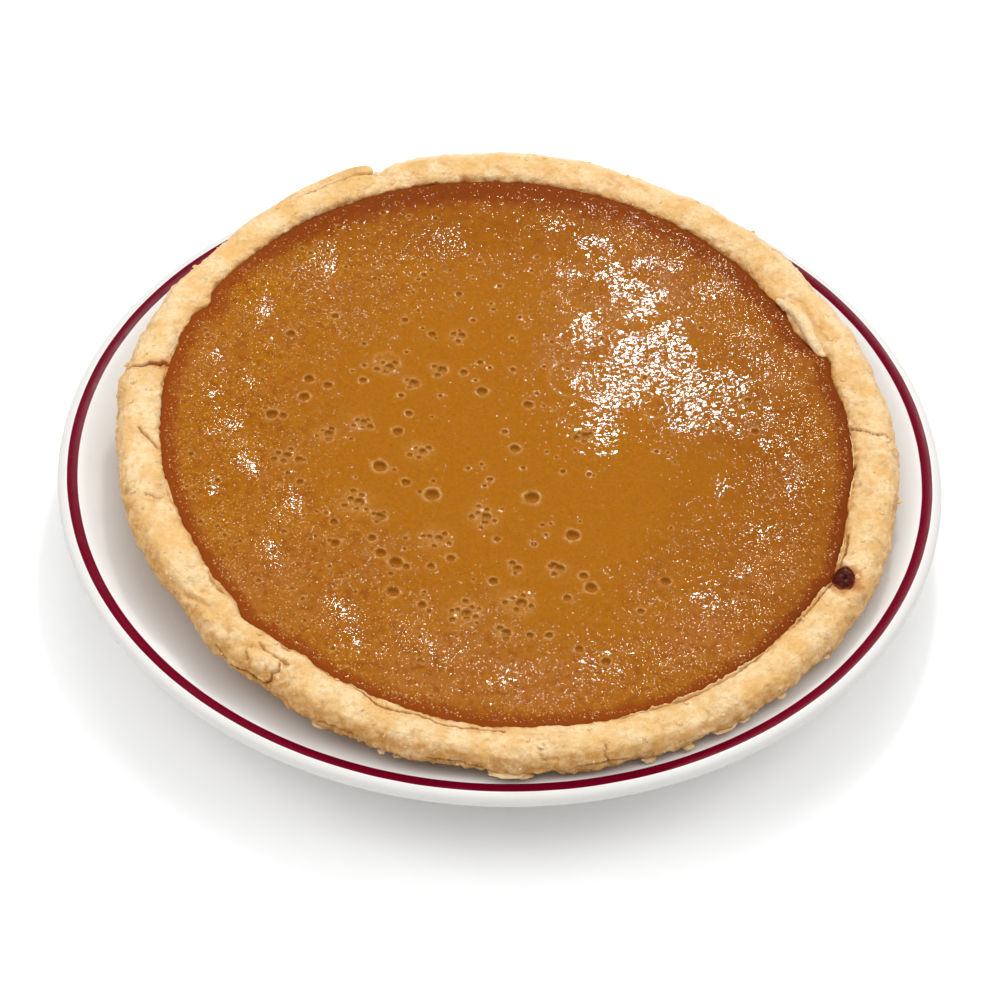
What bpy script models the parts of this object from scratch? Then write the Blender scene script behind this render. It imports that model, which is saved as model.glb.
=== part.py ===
"""Pumpkin pie on its plate: a thick rolled crust, the baked filling, and one burnt drip of filling.

Metres, +Z up. The origin is on the axis of the plate, level with the bottom of its foot ring.
The pie is a little out of round, and its rim leans down towards -Y and +X.
"""
import math

import bmesh
import bpy
from mathutils import Vector

# Clear gap between pieces that touch.
GAP = 0.0003

# Plate: a stoneware dinner plate with a rolled edge and a foot ring.
PLATE_RADIUS = 0.1335
PLATE_HEIGHT = 0.0255
PLATE_SEGMENTS = 72
EDGE_ROLL_RADIUS = 0.0022
LIP_FLAT_RADIUS = 0.1290
LIP_ROUND_RADIUS = 0.0120
SLOPE = math.radians(22.5)
WELL_HEIGHT = 0.0075
WELL_UNDERSIDE_HEIGHT = 0.0025
VERGE_RADIUS = 0.0280
FOOT_OUTER_RADIUS = 0.0855
FOOT_INNER_RADIUS = 0.0805
FOOT_ROUND = 0.0008

# Pie rim: outlines seen from above, as a mean radius, a shift of the middle, and lobes
# that each have a count, a height and the direction of their first crest in degrees.
OUTER_RADIUS = 0.1199
OUTER_SHIFT = (0.0024, -0.0026)
OUTER_LOBES = ((2, 0.0031, -79.0), (3, 0.0005, 58.0), (4, 0.0006, -5.0))
INNER_RADIUS = 0.1061
INNER_SHIFT = (0.0020, -0.0037)
INNER_LOBES = ((2, 0.0035, -72.0), (3, 0.0005, 49.0), (4, 0.0004, -9.0))

# Single knocks and bulges of the two outlines: direction in degrees, half width in degrees, size.
OUTER_KNOCKS = (
    (35.0, 7.0, 0.0006),
    (111.8, 1.6, -0.0017),
    (116.5, 3.0, 0.0010),
    (147.0, 3.0, -0.0009),
    (175.0, 2.5, 0.0009),
    (220.0, 3.0, -0.0010),
    (231.0, 4.0, 0.0008),
    (271.0, 5.0, 0.0008),
)
INNER_KNOCKS = (
    (18.5, 2.6, 0.0021),
    (26.0, 5.0, -0.0024),
    (36.5, 4.0, -0.0019),
    (154.9, 2.4, -0.0026),
    (229.0, 2.6, 0.0022),
    (240.0, 4.0, -0.0010),
    (331.2, 2.4, 0.0016),
    (345.0, 6.0, -0.0013),
)

# Height of the rim's crest over the origin, and how far it leans in x and y.
CREST_HEIGHT = 0.0406
LEAN_X = math.tan(math.radians(-1.5))
LEAN_Y = math.tan(math.radians(3.0))

# Section of the rim. "Across" runs from 0 at the filling to 1 at the outer face.
CREST_ACROSS = 0.45
LIP_DROP = 0.0020
SIDE_DROP = 0.0053
UNDER_DROP = 0.0036
UNDERCUT_DEPTH = 0.0096
WALL_TOP_WIDTH = 0.0065

# Side wall and floor of the crust.
BASE_FLAT_RADIUS = 0.0740
BASE_ROUND_RADIUS = 0.0100
BASE_ROUND_ANGLES = (50.0, 25.0, 0.0)
CRUST_FLOOR_THICKNESS = 0.0040
FLOOR_INSIDE_RADIUS = 0.0750
WALL_FOOT_INSIDE = (0.0790, 0.0145)
WALL_HEAD_INSET = 0.0010
WALL_HEAD_DROP = 0.0060

# Lumps along the rim, as count, height, start in degrees.
RIM_LUMPS = ((9, 0.00035, 20.0), (14, 0.00030, 120.0), (23, 0.00022, 230.0), (37, 0.00015, 70.0))

# Dents in the top of the rim: direction, half width in degrees, depth.
RIM_DENTS = ((171.0, 3.0, 0.0006), (190.0, 3.5, 0.0006), (221.0, 3.2, 0.0016), (237.5, 1.8, 0.0008))

# Cracks across the rim: direction, half width in degrees, depth, first and last part across.
RIM_CRACKS = ((171.9, 0.55, 0.0030, -0.10, 1.05), (1.3, 0.40, 0.0024, 0.05, 0.80))

# Directions around the pie, and those that are added at a crack, in its half widths.
PIE_SEGMENTS = 104
CRACK_STEPS = (-3.0, -1.0, 0.0, 1.0, 3.0)

# Filling: where its rings lie, from the middle to the crust, and how high each is over its edge.
FILLING_RINGS = ((0.35, -0.0007), (0.68, -0.0002), (0.87, 0.0005), (0.955, 0.0006), (1.0, 0.0))
FILLING_MIDDLE_DROP = 0.0010

# Burnt drip of filling on the rim.
DRIP_DIRECTION = 330.9
DRIP_SEAT_STEPS = (-2.4, -1.2, 0.0, 1.2, 2.4)
DRIP_CENTRE_RADIUS = 0.1142
DRIP_RADIUS = 0.0040
DRIP_STRETCH = 0.08
DRIP_HEIGHT = 0.0016
DRIP_EDGE_HEIGHT = 0.0004
DRIP_SEAT_GAP = 0.0005
DRIP_SEGMENTS = 18
DRIP_RINGS = (0.42, 0.76, 1.0)


def clear_scene():
    for obj in list(bpy.data.objects):
        bpy.data.objects.remove(obj)


def make_material(name, colour, roughness):
    material = bpy.data.materials.new(name)
    material.use_nodes = True
    shader = material.node_tree.nodes["Principled BSDF"]
    shader.inputs["Base Color"].default_value = (*colour, 1.0)
    shader.inputs["Roughness"].default_value = roughness
    shader.inputs["Metallic"].default_value = 0.0
    return material


def arc(centre, radius, start, end, steps):
    """Points (radius, height) along an arc, from the start angle to the end angle in radians."""
    points = []
    for i in range(steps + 1):
        angle = start + (end - start) * i / steps
        points.append((centre[0] + radius * math.cos(angle), centre[1] + radius * math.sin(angle)))
    return points


def bell(distance, half_width):
    return math.exp(-((distance / half_width) ** 2))


def turn_between(direction, other):
    """Signed angle in degrees from other to direction."""
    return (direction - other + 180.0) % 360.0 - 180.0


# Plate ---------------------------------------------------------------------------------------


def plate_profile():
    """Outline (radius, height) from the middle of the well, over the edge, to the middle underneath."""
    roll = (PLATE_RADIUS - EDGE_ROLL_RADIUS, PLATE_HEIGHT - EDGE_ROLL_RADIUS)
    lip = arc((LIP_FLAT_RADIUS, PLATE_HEIGHT - LIP_ROUND_RADIUS), LIP_ROUND_RADIUS,
              math.pi / 2 + SLOPE, math.pi / 2, 2)
    verge_rise = VERGE_RADIUS * (1.0 - math.cos(SLOPE))
    verge_end = lip[0][0] - (lip[0][1] - WELL_HEIGHT - verge_rise) / math.tan(SLOPE)
    verge_start = verge_end - VERGE_RADIUS * math.sin(SLOPE)
    verge = arc((verge_start, WELL_HEIGHT + VERGE_RADIUS), VERGE_RADIUS,
                -math.pi / 2, -math.pi / 2 + SLOPE, 3)
    edge = arc(roll, EDGE_ROLL_RADIUS, math.pi / 2, SLOPE - math.pi / 2, 5)
    under_end_height = WELL_UNDERSIDE_HEIGHT + FOOT_ROUND
    under_end = edge[-1][0] - (edge[-1][1] - under_end_height) / math.tan(SLOPE)
    foot = [
        (FOOT_OUTER_RADIUS, FOOT_ROUND),
        (FOOT_OUTER_RADIUS - FOOT_ROUND, 0.0),
        (FOOT_INNER_RADIUS + FOOT_ROUND, 0.0),
        (FOOT_INNER_RADIUS, FOOT_ROUND),
        (FOOT_INNER_RADIUS - FOOT_ROUND, WELL_UNDERSIDE_HEIGHT),
    ]
    middle_top = (0.0, WELL_HEIGHT)
    middle_under = (0.0, WELL_UNDERSIDE_HEIGHT)
    return [middle_top] + verge + lip + edge + [(under_end, under_end_height)] + foot + [middle_under]


def build_plate():
    mesh = bpy.data.meshes.new("plate")
    bm = bmesh.new()
    points = [bm.verts.new((radius, 0.0, height)) for radius, height in plate_profile()]
    outline = [bm.edges.new(pair) for pair in zip(points, points[1:])]
    bmesh.ops.spin(bm, geom=points + outline, cent=(0, 0, 0), axis=(0, 0, 1),
                   angle=2.0 * math.pi, steps=PLATE_SEGMENTS, use_merge=True)
    bmesh.ops.remove_doubles(bm, verts=bm.verts, dist=0.00001)
    bmesh.ops.recalc_face_normals(bm, faces=bm.faces)
    bm.to_mesh(mesh)
    bm.free()
    plate = bpy.data.objects.new("plate", mesh)
    bpy.context.collection.objects.link(plate)
    return plate


# Pie outlines and heights ----------------------------------------------------------------------


def outline_radius(direction, radius, shift, lobes, knocks):
    """Distance of an outline from the origin, in a direction given in degrees."""
    angle = math.radians(direction)
    distance = radius + shift[0] * math.cos(angle) + shift[1] * math.sin(angle)
    for count, height, first in lobes:
        distance += height * math.cos(count * (angle - math.radians(first)))
    for centre, half_width, size in knocks:
        distance += size * bell(turn_between(direction, centre), half_width)
    return distance


def inner_radius(direction):
    return outline_radius(direction, INNER_RADIUS, INNER_SHIFT, INNER_LOBES, INNER_KNOCKS)


def outer_radius(direction):
    return outline_radius(direction, OUTER_RADIUS, OUTER_SHIFT, OUTER_LOBES, OUTER_KNOCKS)


def leaning_height(direction, distance, height):
    """Height of a point of the leaning rim plane, lifted from the plane through the origin."""
    angle = math.radians(direction)
    return height + distance * (LEAN_X * math.cos(angle) + LEAN_Y * math.sin(angle))


def rim_lumps(direction):
    angle = math.radians(direction)
    lumps = 0.0
    for count, height, start in RIM_LUMPS:
        lumps += height * math.sin(count * angle + math.radians(start))
    return lumps


def rim_sinks(direction, across):
    """How far dents and cracks lower the top of the rim."""
    sink = 0.0
    for centre, half_width, depth in RIM_DENTS:
        sink += depth * bell(turn_between(direction, centre), half_width)
    for centre, half_width, depth, first, last in RIM_CRACKS:
        side = abs(turn_between(direction, centre)) / half_width
        if first <= across <= last:
            sink += depth * max(0.0, 1.0 - side)
    return sink


def rim_section():
    """The rim from the filling's edge over the crest to its under edge, as (across, drop)."""
    points = []
    for angle in (180.0, 150.0, 120.0, 90.0):
        turn = math.radians(angle)
        points.append((CREST_ACROSS + CREST_ACROSS * math.cos(turn), LIP_DROP * (1.0 - math.sin(turn))))
    for angle in (67.5, 45.0, 22.5, 0.0):
        turn = math.radians(angle)
        points.append((CREST_ACROSS + (1.0 - CREST_ACROSS) * math.cos(turn),
                       SIDE_DROP * (1.0 - math.sin(turn))))
    for angle in (-30.0, -60.0):
        turn = math.radians(angle)
        points.append((CREST_ACROSS + (1.0 - CREST_ACROSS) * math.cos(turn),
                       SIDE_DROP - UNDER_DROP * math.sin(turn)))
    return points


def rim_point(direction, across, drop):
    """A point of the rim, as (distance from the origin, height)."""
    inner = inner_radius(direction)
    outer = outer_radius(direction)
    lumps = rim_lumps(direction)
    distance = inner + across * (outer - inner) + across * lumps
    on_top = max(0.0, 1.0 - drop / (SIDE_DROP + UNDER_DROP))
    height = leaning_height(direction, distance, CREST_HEIGHT - drop)
    if across > 0.0:
        height += on_top * lumps - on_top * rim_sinks(direction, across)
    return distance, height


def inner_wall(direction, clearance):
    """The inside of the crust below the filling's edge, moved inwards by the clearance."""
    inner = inner_radius(direction)
    head = inner - WALL_HEAD_INSET
    floor_height = WELL_HEIGHT + GAP + CRUST_FLOOR_THICKNESS
    return [
        (head - clearance, leaning_height(direction, head, CREST_HEIGHT - WALL_HEAD_DROP)),
        (WALL_FOOT_INSIDE[0] - clearance, WALL_FOOT_INSIDE[1] + clearance),
        (FLOOR_INSIDE_RADIUS - clearance, floor_height + clearance),
    ]


def crust_section(direction):
    """Closed section (distance, height) of the crust, from its floor inside to its base."""
    inside = list(reversed(inner_wall(direction, 0.0)))
    rim = [rim_point(direction, across, drop) for across, drop in rim_section()]
    under = inner_radius(direction) + WALL_TOP_WIDTH
    undercut = (under, leaning_height(direction, under, CREST_HEIGHT - UNDERCUT_DEPTH))
    base = []
    for angle in BASE_ROUND_ANGLES:
        turn = math.radians(angle)
        base.append((BASE_FLAT_RADIUS + BASE_ROUND_RADIUS * math.sin(turn),
                     WELL_HEIGHT + GAP + BASE_ROUND_RADIUS * (1.0 - math.cos(turn))))
    return inside + rim + [undercut] + base


def filling_section(direction):
    """Section (distance, height) of the filling, from near its middle to its floor."""
    edge = inner_radius(direction) - GAP
    edge_height = leaning_height(direction, edge, CREST_HEIGHT - LIP_DROP)
    top = []
    for part, lift in FILLING_RINGS:
        distance = edge * part
        top.append((distance, leaning_height(direction, distance, CREST_HEIGHT - LIP_DROP + lift)))
    top[-1] = (edge, edge_height)
    return top + inner_wall(direction, GAP)


def pie_directions():
    """Directions around the pie in degrees, closer together at each crack and under the drip."""
    extra = [DRIP_DIRECTION + step for step in DRIP_SEAT_STEPS]
    for centre, half_width, *_ in RIM_CRACKS:
        extra += [(centre + step * half_width) % 360.0 for step in CRACK_STEPS]
    spacing = 360.0 / PIE_SEGMENTS
    kept = []
    for i in range(PIE_SEGMENTS):
        direction = i * spacing
        if min(abs(turn_between(direction, other)) for other in extra) > 0.3 * spacing:
            kept.append(direction)
    return sorted(kept + extra)


def add_split_quad(bm, quad, upward_split):
    """Two triangles in place of a bent quad, so that facing walls are split along one line."""
    a, b, c, d = quad
    if upward_split:
        bm.faces.new((a, b, c))
        bm.faces.new((a, c, d))
    else:
        bm.faces.new((a, b, d))
        bm.faces.new((b, c, d))


def build_lofted(name, sections, top_middle, bottom_middle, upward_split):
    """A closed body through sections set round the Z axis.

    sections holds (direction in degrees, list of (distance, height)), top first.
    """
    mesh = bpy.data.meshes.new(name)
    bm = bmesh.new()
    columns = []
    for direction, section in sections:
        angle = math.radians(direction)
        columns.append([bm.verts.new((distance * math.cos(angle), distance * math.sin(angle), height))
                        for distance, height in section])
    top = bm.verts.new(top_middle)
    bottom = bm.verts.new(bottom_middle)
    for here, after in zip(columns, columns[1:] + columns[:1]):
        bm.faces.new((top, here[0], after[0]))
        for row in range(len(here) - 1):
            add_split_quad(bm, (here[row], here[row + 1], after[row + 1], after[row]), upward_split)
        bm.faces.new((here[-1], bottom, after[-1]))
    bm.to_mesh(mesh)
    bm.free()
    obj = bpy.data.objects.new(name, mesh)
    bpy.context.collection.objects.link(obj)
    return obj


def build_crust():
    sections = [(direction, crust_section(direction)) for direction in pie_directions()]
    inside_height = WELL_HEIGHT + GAP + CRUST_FLOOR_THICKNESS
    return build_lofted("crust", sections, (0.0, 0.0, inside_height), (0.0, 0.0, WELL_HEIGHT + GAP), True)


def build_filling():
    sections = [(direction, filling_section(direction)) for direction in pie_directions()]
    middle_height = CREST_HEIGHT - LIP_DROP - FILLING_MIDDLE_DROP
    floor_height = WELL_HEIGHT + GAP + CRUST_FLOOR_THICKNESS + GAP
    return build_lofted("filling", sections, (0.0, 0.0, middle_height), (0.0, 0.0, floor_height), False)


# Burnt drip --------------------------------------------------------------------------------------


def rim_top_height(x, y):
    """Height of the rim's top at a place on it."""
    direction = math.degrees(math.atan2(y, x)) % 360.0
    distance = math.hypot(x, y)
    points = [rim_point(direction, across, drop) for across, drop in rim_section()[:8]]
    for first, second in zip(points, points[1:]):
        if first[0] <= distance <= second[0]:
            part = (distance - first[0]) / (second[0] - first[0])
            return first[1] + part * (second[1] - first[1])
    return points[0][1]


def build_drip():
    outwards = math.radians(DRIP_DIRECTION)
    centre = Vector((DRIP_CENTRE_RADIUS * math.cos(outwards), DRIP_CENTRE_RADIUS * math.sin(outwards)))
    mesh = bpy.data.meshes.new("filling_drip")
    bm = bmesh.new()

    def vertex(x, y, lift):
        return bm.verts.new((x, y, rim_top_height(x, y) + DRIP_SEAT_GAP + lift))

    columns = []
    for i in range(DRIP_SEGMENTS):
        angle = 2.0 * math.pi * i / DRIP_SEGMENTS
        radius = DRIP_RADIUS * (1.0 + DRIP_STRETCH * math.cos(2.0 * (angle - outwards)))
        spots = [(centre.x + part * radius * math.cos(angle), centre.y + part * radius * math.sin(angle))
                 for part in DRIP_RINGS]
        over = [DRIP_EDGE_HEIGHT + (DRIP_HEIGHT - DRIP_EDGE_HEIGHT) * math.sqrt(1.0 - part * part)
                for part in DRIP_RINGS]
        top = [vertex(x, y, lift) for (x, y), lift in zip(spots, over)]
        under = [vertex(x, y, 0.0) for x, y in reversed(spots)]
        columns.append(top + under)
    peak = vertex(centre.x, centre.y, DRIP_HEIGHT)
    seat = vertex(centre.x, centre.y, 0.0)
    for here, after in zip(columns, columns[1:] + columns[:1]):
        bm.faces.new((peak, here[0], after[0]))
        for row in range(len(here) - 1):
            bm.faces.new((here[row], here[row + 1], after[row + 1], after[row]))
        bm.faces.new((here[-1], seat, after[-1]))
    bm.to_mesh(mesh)
    bm.free()
    drip = bpy.data.objects.new("filling_drip", mesh)
    bpy.context.collection.objects.link(drip)
    return drip


def finish(obj, material, sharp_angle):
    obj.data.materials.append(material)
    obj.data.shade_smooth()
    obj.data.set_sharp_from_angle(angle=math.radians(sharp_angle))


def main():
    clear_scene()
    finish(build_plate(), make_material("plate_glaze", (0.88, 0.86, 0.82), 0.12), 45.0)
    finish(build_crust(), make_material("baked_crust", (0.72, 0.47, 0.22), 0.75), 60.0)
    finish(build_filling(), make_material("baked_filling", (0.42, 0.14, 0.012), 0.25), 40.0)
    finish(build_drip(), make_material("burnt_filling", (0.07, 0.012, 0.010), 0.40), 60.0)


main()
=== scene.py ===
import math

import bpy
import numpy as np
from mathutils import Matrix, Vector
from mathutils.bvhtree import BVHTree
from mathutils.geometry import delaunay_2d_cdt


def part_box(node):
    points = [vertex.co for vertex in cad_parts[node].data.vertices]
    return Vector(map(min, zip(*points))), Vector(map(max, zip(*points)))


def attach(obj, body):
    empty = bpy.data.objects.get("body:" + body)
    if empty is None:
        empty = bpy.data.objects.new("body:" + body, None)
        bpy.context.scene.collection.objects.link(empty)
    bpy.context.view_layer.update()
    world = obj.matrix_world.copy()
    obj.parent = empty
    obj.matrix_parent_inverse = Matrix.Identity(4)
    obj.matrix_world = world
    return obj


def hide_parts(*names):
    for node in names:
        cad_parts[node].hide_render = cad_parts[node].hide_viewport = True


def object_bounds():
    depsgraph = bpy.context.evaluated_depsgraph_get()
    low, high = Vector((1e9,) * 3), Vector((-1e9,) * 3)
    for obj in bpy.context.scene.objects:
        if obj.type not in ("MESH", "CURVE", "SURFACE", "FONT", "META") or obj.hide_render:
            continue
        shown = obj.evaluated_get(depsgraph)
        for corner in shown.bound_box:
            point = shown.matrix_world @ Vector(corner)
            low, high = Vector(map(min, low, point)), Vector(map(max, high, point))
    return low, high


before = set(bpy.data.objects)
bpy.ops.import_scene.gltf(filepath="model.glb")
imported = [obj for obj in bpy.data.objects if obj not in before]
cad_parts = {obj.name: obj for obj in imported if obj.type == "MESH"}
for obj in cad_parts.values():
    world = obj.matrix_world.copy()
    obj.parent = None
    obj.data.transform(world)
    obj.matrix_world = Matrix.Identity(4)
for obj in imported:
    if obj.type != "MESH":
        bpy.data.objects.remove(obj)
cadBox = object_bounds()

mm = 0.001  # shapes are worked out in millimetres and scaled when a mesh is made

# outlines and section of the pie, as its solids have them
pieShape = {
    "outer": {
        "radius": 119.9,
        "shift": (2.4, -2.6),
        "lobes": ((2, 3.1, -79), (3, 0.5, 58), (4, 0.6, -5)),
        "knocks": ((35, 7, 0.6), (111.8, 1.6, -1.7), (116.5, 3, 1), (147, 3, -0.9),
                   (175, 2.5, 0.9), (220, 3, -1), (231, 4, 0.8), (271, 5, 0.8)),
    },
    "inner": {
        "radius": 106.1,
        "shift": (2, -3.7),
        "lobes": ((2, 3.5, -72), (3, 0.5, 49), (4, 0.4, -9)),
        "knocks": ((18.5, 2.6, 2.1), (26, 5, -2.4), (36.5, 4, -1.9), (154.9, 2.4, -2.6), (229, 2.6, 2.2),
                   (240, 4, -1), (331.2, 2.4, 1.6), (345, 6, -1.3)),
    },
    "crestHeight": 40.6,
    "leanX": math.tan(math.radians(-1.5)),
    "leanY": math.tan(math.radians(3)),
    "crestAcross": 0.45,
    "lipDrop": 2,
    "sideDrop": 5.3,
    "underDrop": 3.6,
    "undercutDepth": 9.6,
    "wallTopWidth": 6.5,
    "wallFoot": (79, 14.5),
    "floor": (75, 11.8),
    "baseFlatRadius": 74,
    "baseRoundRadius": 10,
    "baseHeight": 7.8,
}


# noise and small helpers

noiseSlopes = np.random.default_rng(7).normal(size=(64, 3))
noiseSlopes /= np.linalg.norm(noiseSlopes, axis=1)[:, None]


def cellNumber(cell, seed):
    number = cell[..., 0] * 73856093 ^ cell[..., 1] * 19349663 ^ cell[..., 2] * 83492791
    number = (number + seed * 40503 + 977) & 0xFFFFFFFF
    number = (number ^ (number >> 15)) * 2246822519 & 0xFFFFFFFF
    number = (number ^ (number >> 13)) * 3266489917 & 0xFFFFFFFF
    return number ^ (number >> 16)


def softNoise(points, size, seed):  # smooth bumps about one size apart, between -1 and 1
    place = np.asarray(points) / size
    cell = np.floor(place).astype(np.int64)
    part = place - cell
    eased = part ** 3 * (part * (part * 6 - 15) + 10)
    total = np.zeros(len(place))
    for corner in np.ndindex(2, 2, 2):
        slope = noiseSlopes[cellNumber(cell + corner, seed) & 63]
        share = np.prod(np.where(np.array(corner, bool), eased, 1 - eased), axis=1)
        total += share * ((part - corner) * slope).sum(axis=1)
    return total * 1.7


def layeredNoise(points, size, seed, layers=3):
    return sum(softNoise(points, size / 2 ** layer, seed + layer) / 2 ** layer for layer in range(layers))


def pebbles(points, size, seed):  # 0 at the middle of each pebble, growing to its edge
    place = np.asarray(points) / size
    cell = np.floor(place).astype(np.int64)
    nearest = np.full(len(place), 9)
    for corner in np.ndindex(3, 3, 3):
        other = cell + corner - 1
        number = cellNumber(other, seed)
        spot = other + np.stack([number & 1023, number >> 10 & 1023, number >> 20 & 1023], axis=1) / 1023
        nearest = np.minimum(nearest, np.linalg.norm(place - spot, axis=1))
    return nearest


def bell(distance, halfWidth):
    return np.exp(-((distance / halfWidth) ** 2))


def ease(value, low, high):
    part = np.clip((value - low) / (high - low), 0, 1)
    return part * part * (3 - 2 * part)


def mix(first, second, part):
    return first + (second - first) * part


def turnBetween(direction, other):
    return (direction - other + 180) % 360 - 180


def turned(direction, middle, halfWidth):  # 1 at one direction of the pie, fading to each side
    return bell(turnBetween(direction, middle), halfWidth)


def polar(direction, distance=1):
    angle = np.radians(direction)
    return distance * np.cos(angle), distance * np.sin(angle)


def circle(sides):
    return np.arange(sides) * 2 * math.pi / sides


def outlineRadius(direction, edge):  # edge is inner or outer
    outline = pieShape[edge]
    x, y = polar(direction)
    distance = outline["radius"] + outline["shift"][0] * x + outline["shift"][1] * y
    for count, height, first in outline["lobes"]:
        distance = distance + height * np.cos(np.radians(count * (direction - first)))
    for centre, halfWidth, size in outline["knocks"]:
        distance = distance + size * turned(direction, centre, halfWidth)
    return distance


def leaning(x, y):  # how far the leaning plane of the rim is over the middle
    return pieShape["leanX"] * x + pieShape["leanY"] * y


def lipLevel(x, y):  # height of the crust's edge against the filling
    return pieShape["crestHeight"] - pieShape["lipDrop"] + leaning(x, y)


def rimHeight(direction, distance):  # top of the plain rim, before any relief
    inner = outlineRadius(direction, "inner")
    across = (distance - inner) / (outlineRadius(direction, "outer") - inner)
    crest = pieShape["crestAcross"]
    inward = np.clip((crest - across) / crest, 0, 1)
    outward = np.clip((across - crest) / (1 - crest), 0, 1)
    drop = pieShape["lipDrop"] * (1 - np.sqrt(1 - inward ** 2))
    drop = drop + pieShape["sideDrop"] * (1 - np.sqrt(1 - outward ** 2))
    return pieShape["crestHeight"] - drop + leaning(*polar(direction, distance))


def arcPoints(centre, radius, start, end, steps):
    x, y = polar(np.linspace(start, end, steps + 1), radius)
    return np.stack([centre[0] + x, centre[1] + y], axis=1)


def places(x, y, z):  # one (x, y, z) row for each place
    return np.stack(np.broadcast_arrays(x, y, z), axis=-1)


def closedRings(points, rows, poles):  # rings round Z and their two end points as one closed shape
    columns = len(points) // rows
    here = np.arange(columns)
    after = (here + 1) % columns
    faces = []
    for start in range(0, (rows - 1) * columns, columns):
        quads = (start + here, start + columns + here, start + columns + after, start + after)
        faces += np.stack(quads, axis=1).tolist()
    last = (rows - 1) * columns
    faces += places(len(points), here, after).tolist()
    faces += places(last + here, len(points) + 1, last + after).tolist()
    return np.concatenate([points, poles]), faces


def joinShapes(shapes):  # several (points, faces) as one
    points = np.concatenate([shape[0] for shape in shapes])
    firsts = np.cumsum([0] + [len(shape[0]) for shape in shapes])
    return points, [[corner + first for corner in face]
                    for first, (_, faces) in zip(firsts.tolist(), shapes) for face in faces]


def addObject(name, data):
    thing = bpy.data.objects.new(name, data)
    bpy.context.collection.objects.link(thing)
    return thing


def makePiece(name, shape, material, facts=None, replaced=()):
    mesh = bpy.data.meshes.new(name)
    points = shape[0] * mm
    points[:, 2] = np.minimum(points[:, 2], cadBox[1].z - 0.02 * mm)
    mesh.from_pydata(points.tolist(), [], shape[1])
    for fact, values in (facts or {}).items():
        layer = mesh.attributes.new(fact, "FLOAT", "POINT")
        layer.data.foreach_set("value", np.asarray(values, np.float32))
    mesh.shade_smooth()
    mesh.materials.append(material)
    piece = addObject(name, mesh)
    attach(piece, "root")
    if replaced:
        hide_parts(*replaced)
    print(name, len(mesh.polygons), "faces")
    return piece


class Shade:  # a material, with short ways to add its nodes; sizes are in mm
    def __init__(self, name):
        self.material = bpy.data.materials.new(name)
        self.material.use_nodes = True
        self.tree = self.material.node_tree
        self.shader = self.tree.nodes["Principled BSDF"]
        self.place = self.placeInMm()
        self.colour = None

    def fill(self, socket, value):
        if isinstance(value, bpy.types.NodeSocket):
            self.tree.links.new(value, socket)
        else:
            socket.default_value = value

    def add(self, kind, inputs, **settings):
        node = self.tree.nodes.new(kind)
        for name, value in settings.items():
            setattr(node, name, value)
        for name, value in inputs.items():
            self.fill(node.inputs[name], value)
        return node

    def placeInMm(self, stretch=(1, 1, 1)):
        place = self.add("ShaderNodeTexCoord", {}).outputs["Object"]
        scale = tuple(1 / mm * value for value in stretch)
        return self.add("ShaderNodeMapping", {"Vector": place, "Scale": scale}).outputs["Vector"]

    def calc(self, operation, first, second, third=0):
        return self.add("ShaderNodeMath", {0: first, 1: second, 2: third}, operation=operation).outputs[0]

    def times(self, first, second):
        return self.calc("MULTIPLY", first, second)

    def grain(self, size, detail=3, roughness=0.5, place=None):  # noise with features of one size
        inputs = {"Vector": place or self.place, "Scale": 1 / size, "Detail": detail,
                  "Roughness": roughness}
        return self.add("ShaderNodeTexNoise", inputs).outputs["Fac"]

    def spots(self, size, place=None):
        inputs = {"Vector": place or self.place, "Scale": 1 / size}
        return self.add("ShaderNodeTexVoronoi", inputs).outputs["Distance"]

    def fade(self, value, low, high, outLow=0, outHigh=1):
        inputs = {"Value": value, "From Min": low, "From Max": high, "To Min": outLow, "To Max": outHigh}
        return self.add("ShaderNodeMapRange", inputs, interpolation_type="SMOOTHSTEP").outputs["Result"]

    def cloud(self, size, low, high, outLow=0, outHigh=1, detail=3, roughness=0.5):
        return self.fade(self.grain(size, detail, roughness), low, high, outLow, outHigh)

    def blend(self, factor, first, second):
        node = self.add("ShaderNodeMix", {}, data_type="RGBA")
        self.fill(node.inputs[0], factor)
        for socket, colour in ((node.inputs[6], first), (node.inputs[7], second)):
            self.fill(socket, (*colour, 1) if isinstance(colour, tuple) else colour)
        return node.outputs[2]

    def darker(self, factor, colour, share):  # a plain colour, a little darker where the factor is high
        return self.blend(factor, colour, tuple(share * part for part in colour))

    def fact(self, name):
        return self.add("ShaderNodeAttribute", {}, attribute_name=name).outputs["Fac"]

    def layer(self, factor, colour):  # lays one more colour over what is there
        self.colour = self.blend(factor, self.colour, colour)

    def finish(self, roughness, height, specular):
        relief = self.add("ShaderNodeBump", {"Height": height, "Strength": 1, "Distance": mm})
        self.tree.links.new(self.colour, self.shader.inputs["Base Color"])
        self.tree.links.new(roughness, self.shader.inputs["Roughness"])
        self.tree.links.new(relief.outputs["Normal"], self.shader.inputs["Normal"])
        self.shader.inputs["Specular IOR Level"].default_value = specular
        return self.material


# camera, lights and floor

cameraView = {
    "target": (0.00027, -0.01989, 0.0255),
    "distance": 0.8953,
    "elevation": 45.94,
    "roll": 2.007,
    "lens": 108,
}

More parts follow.
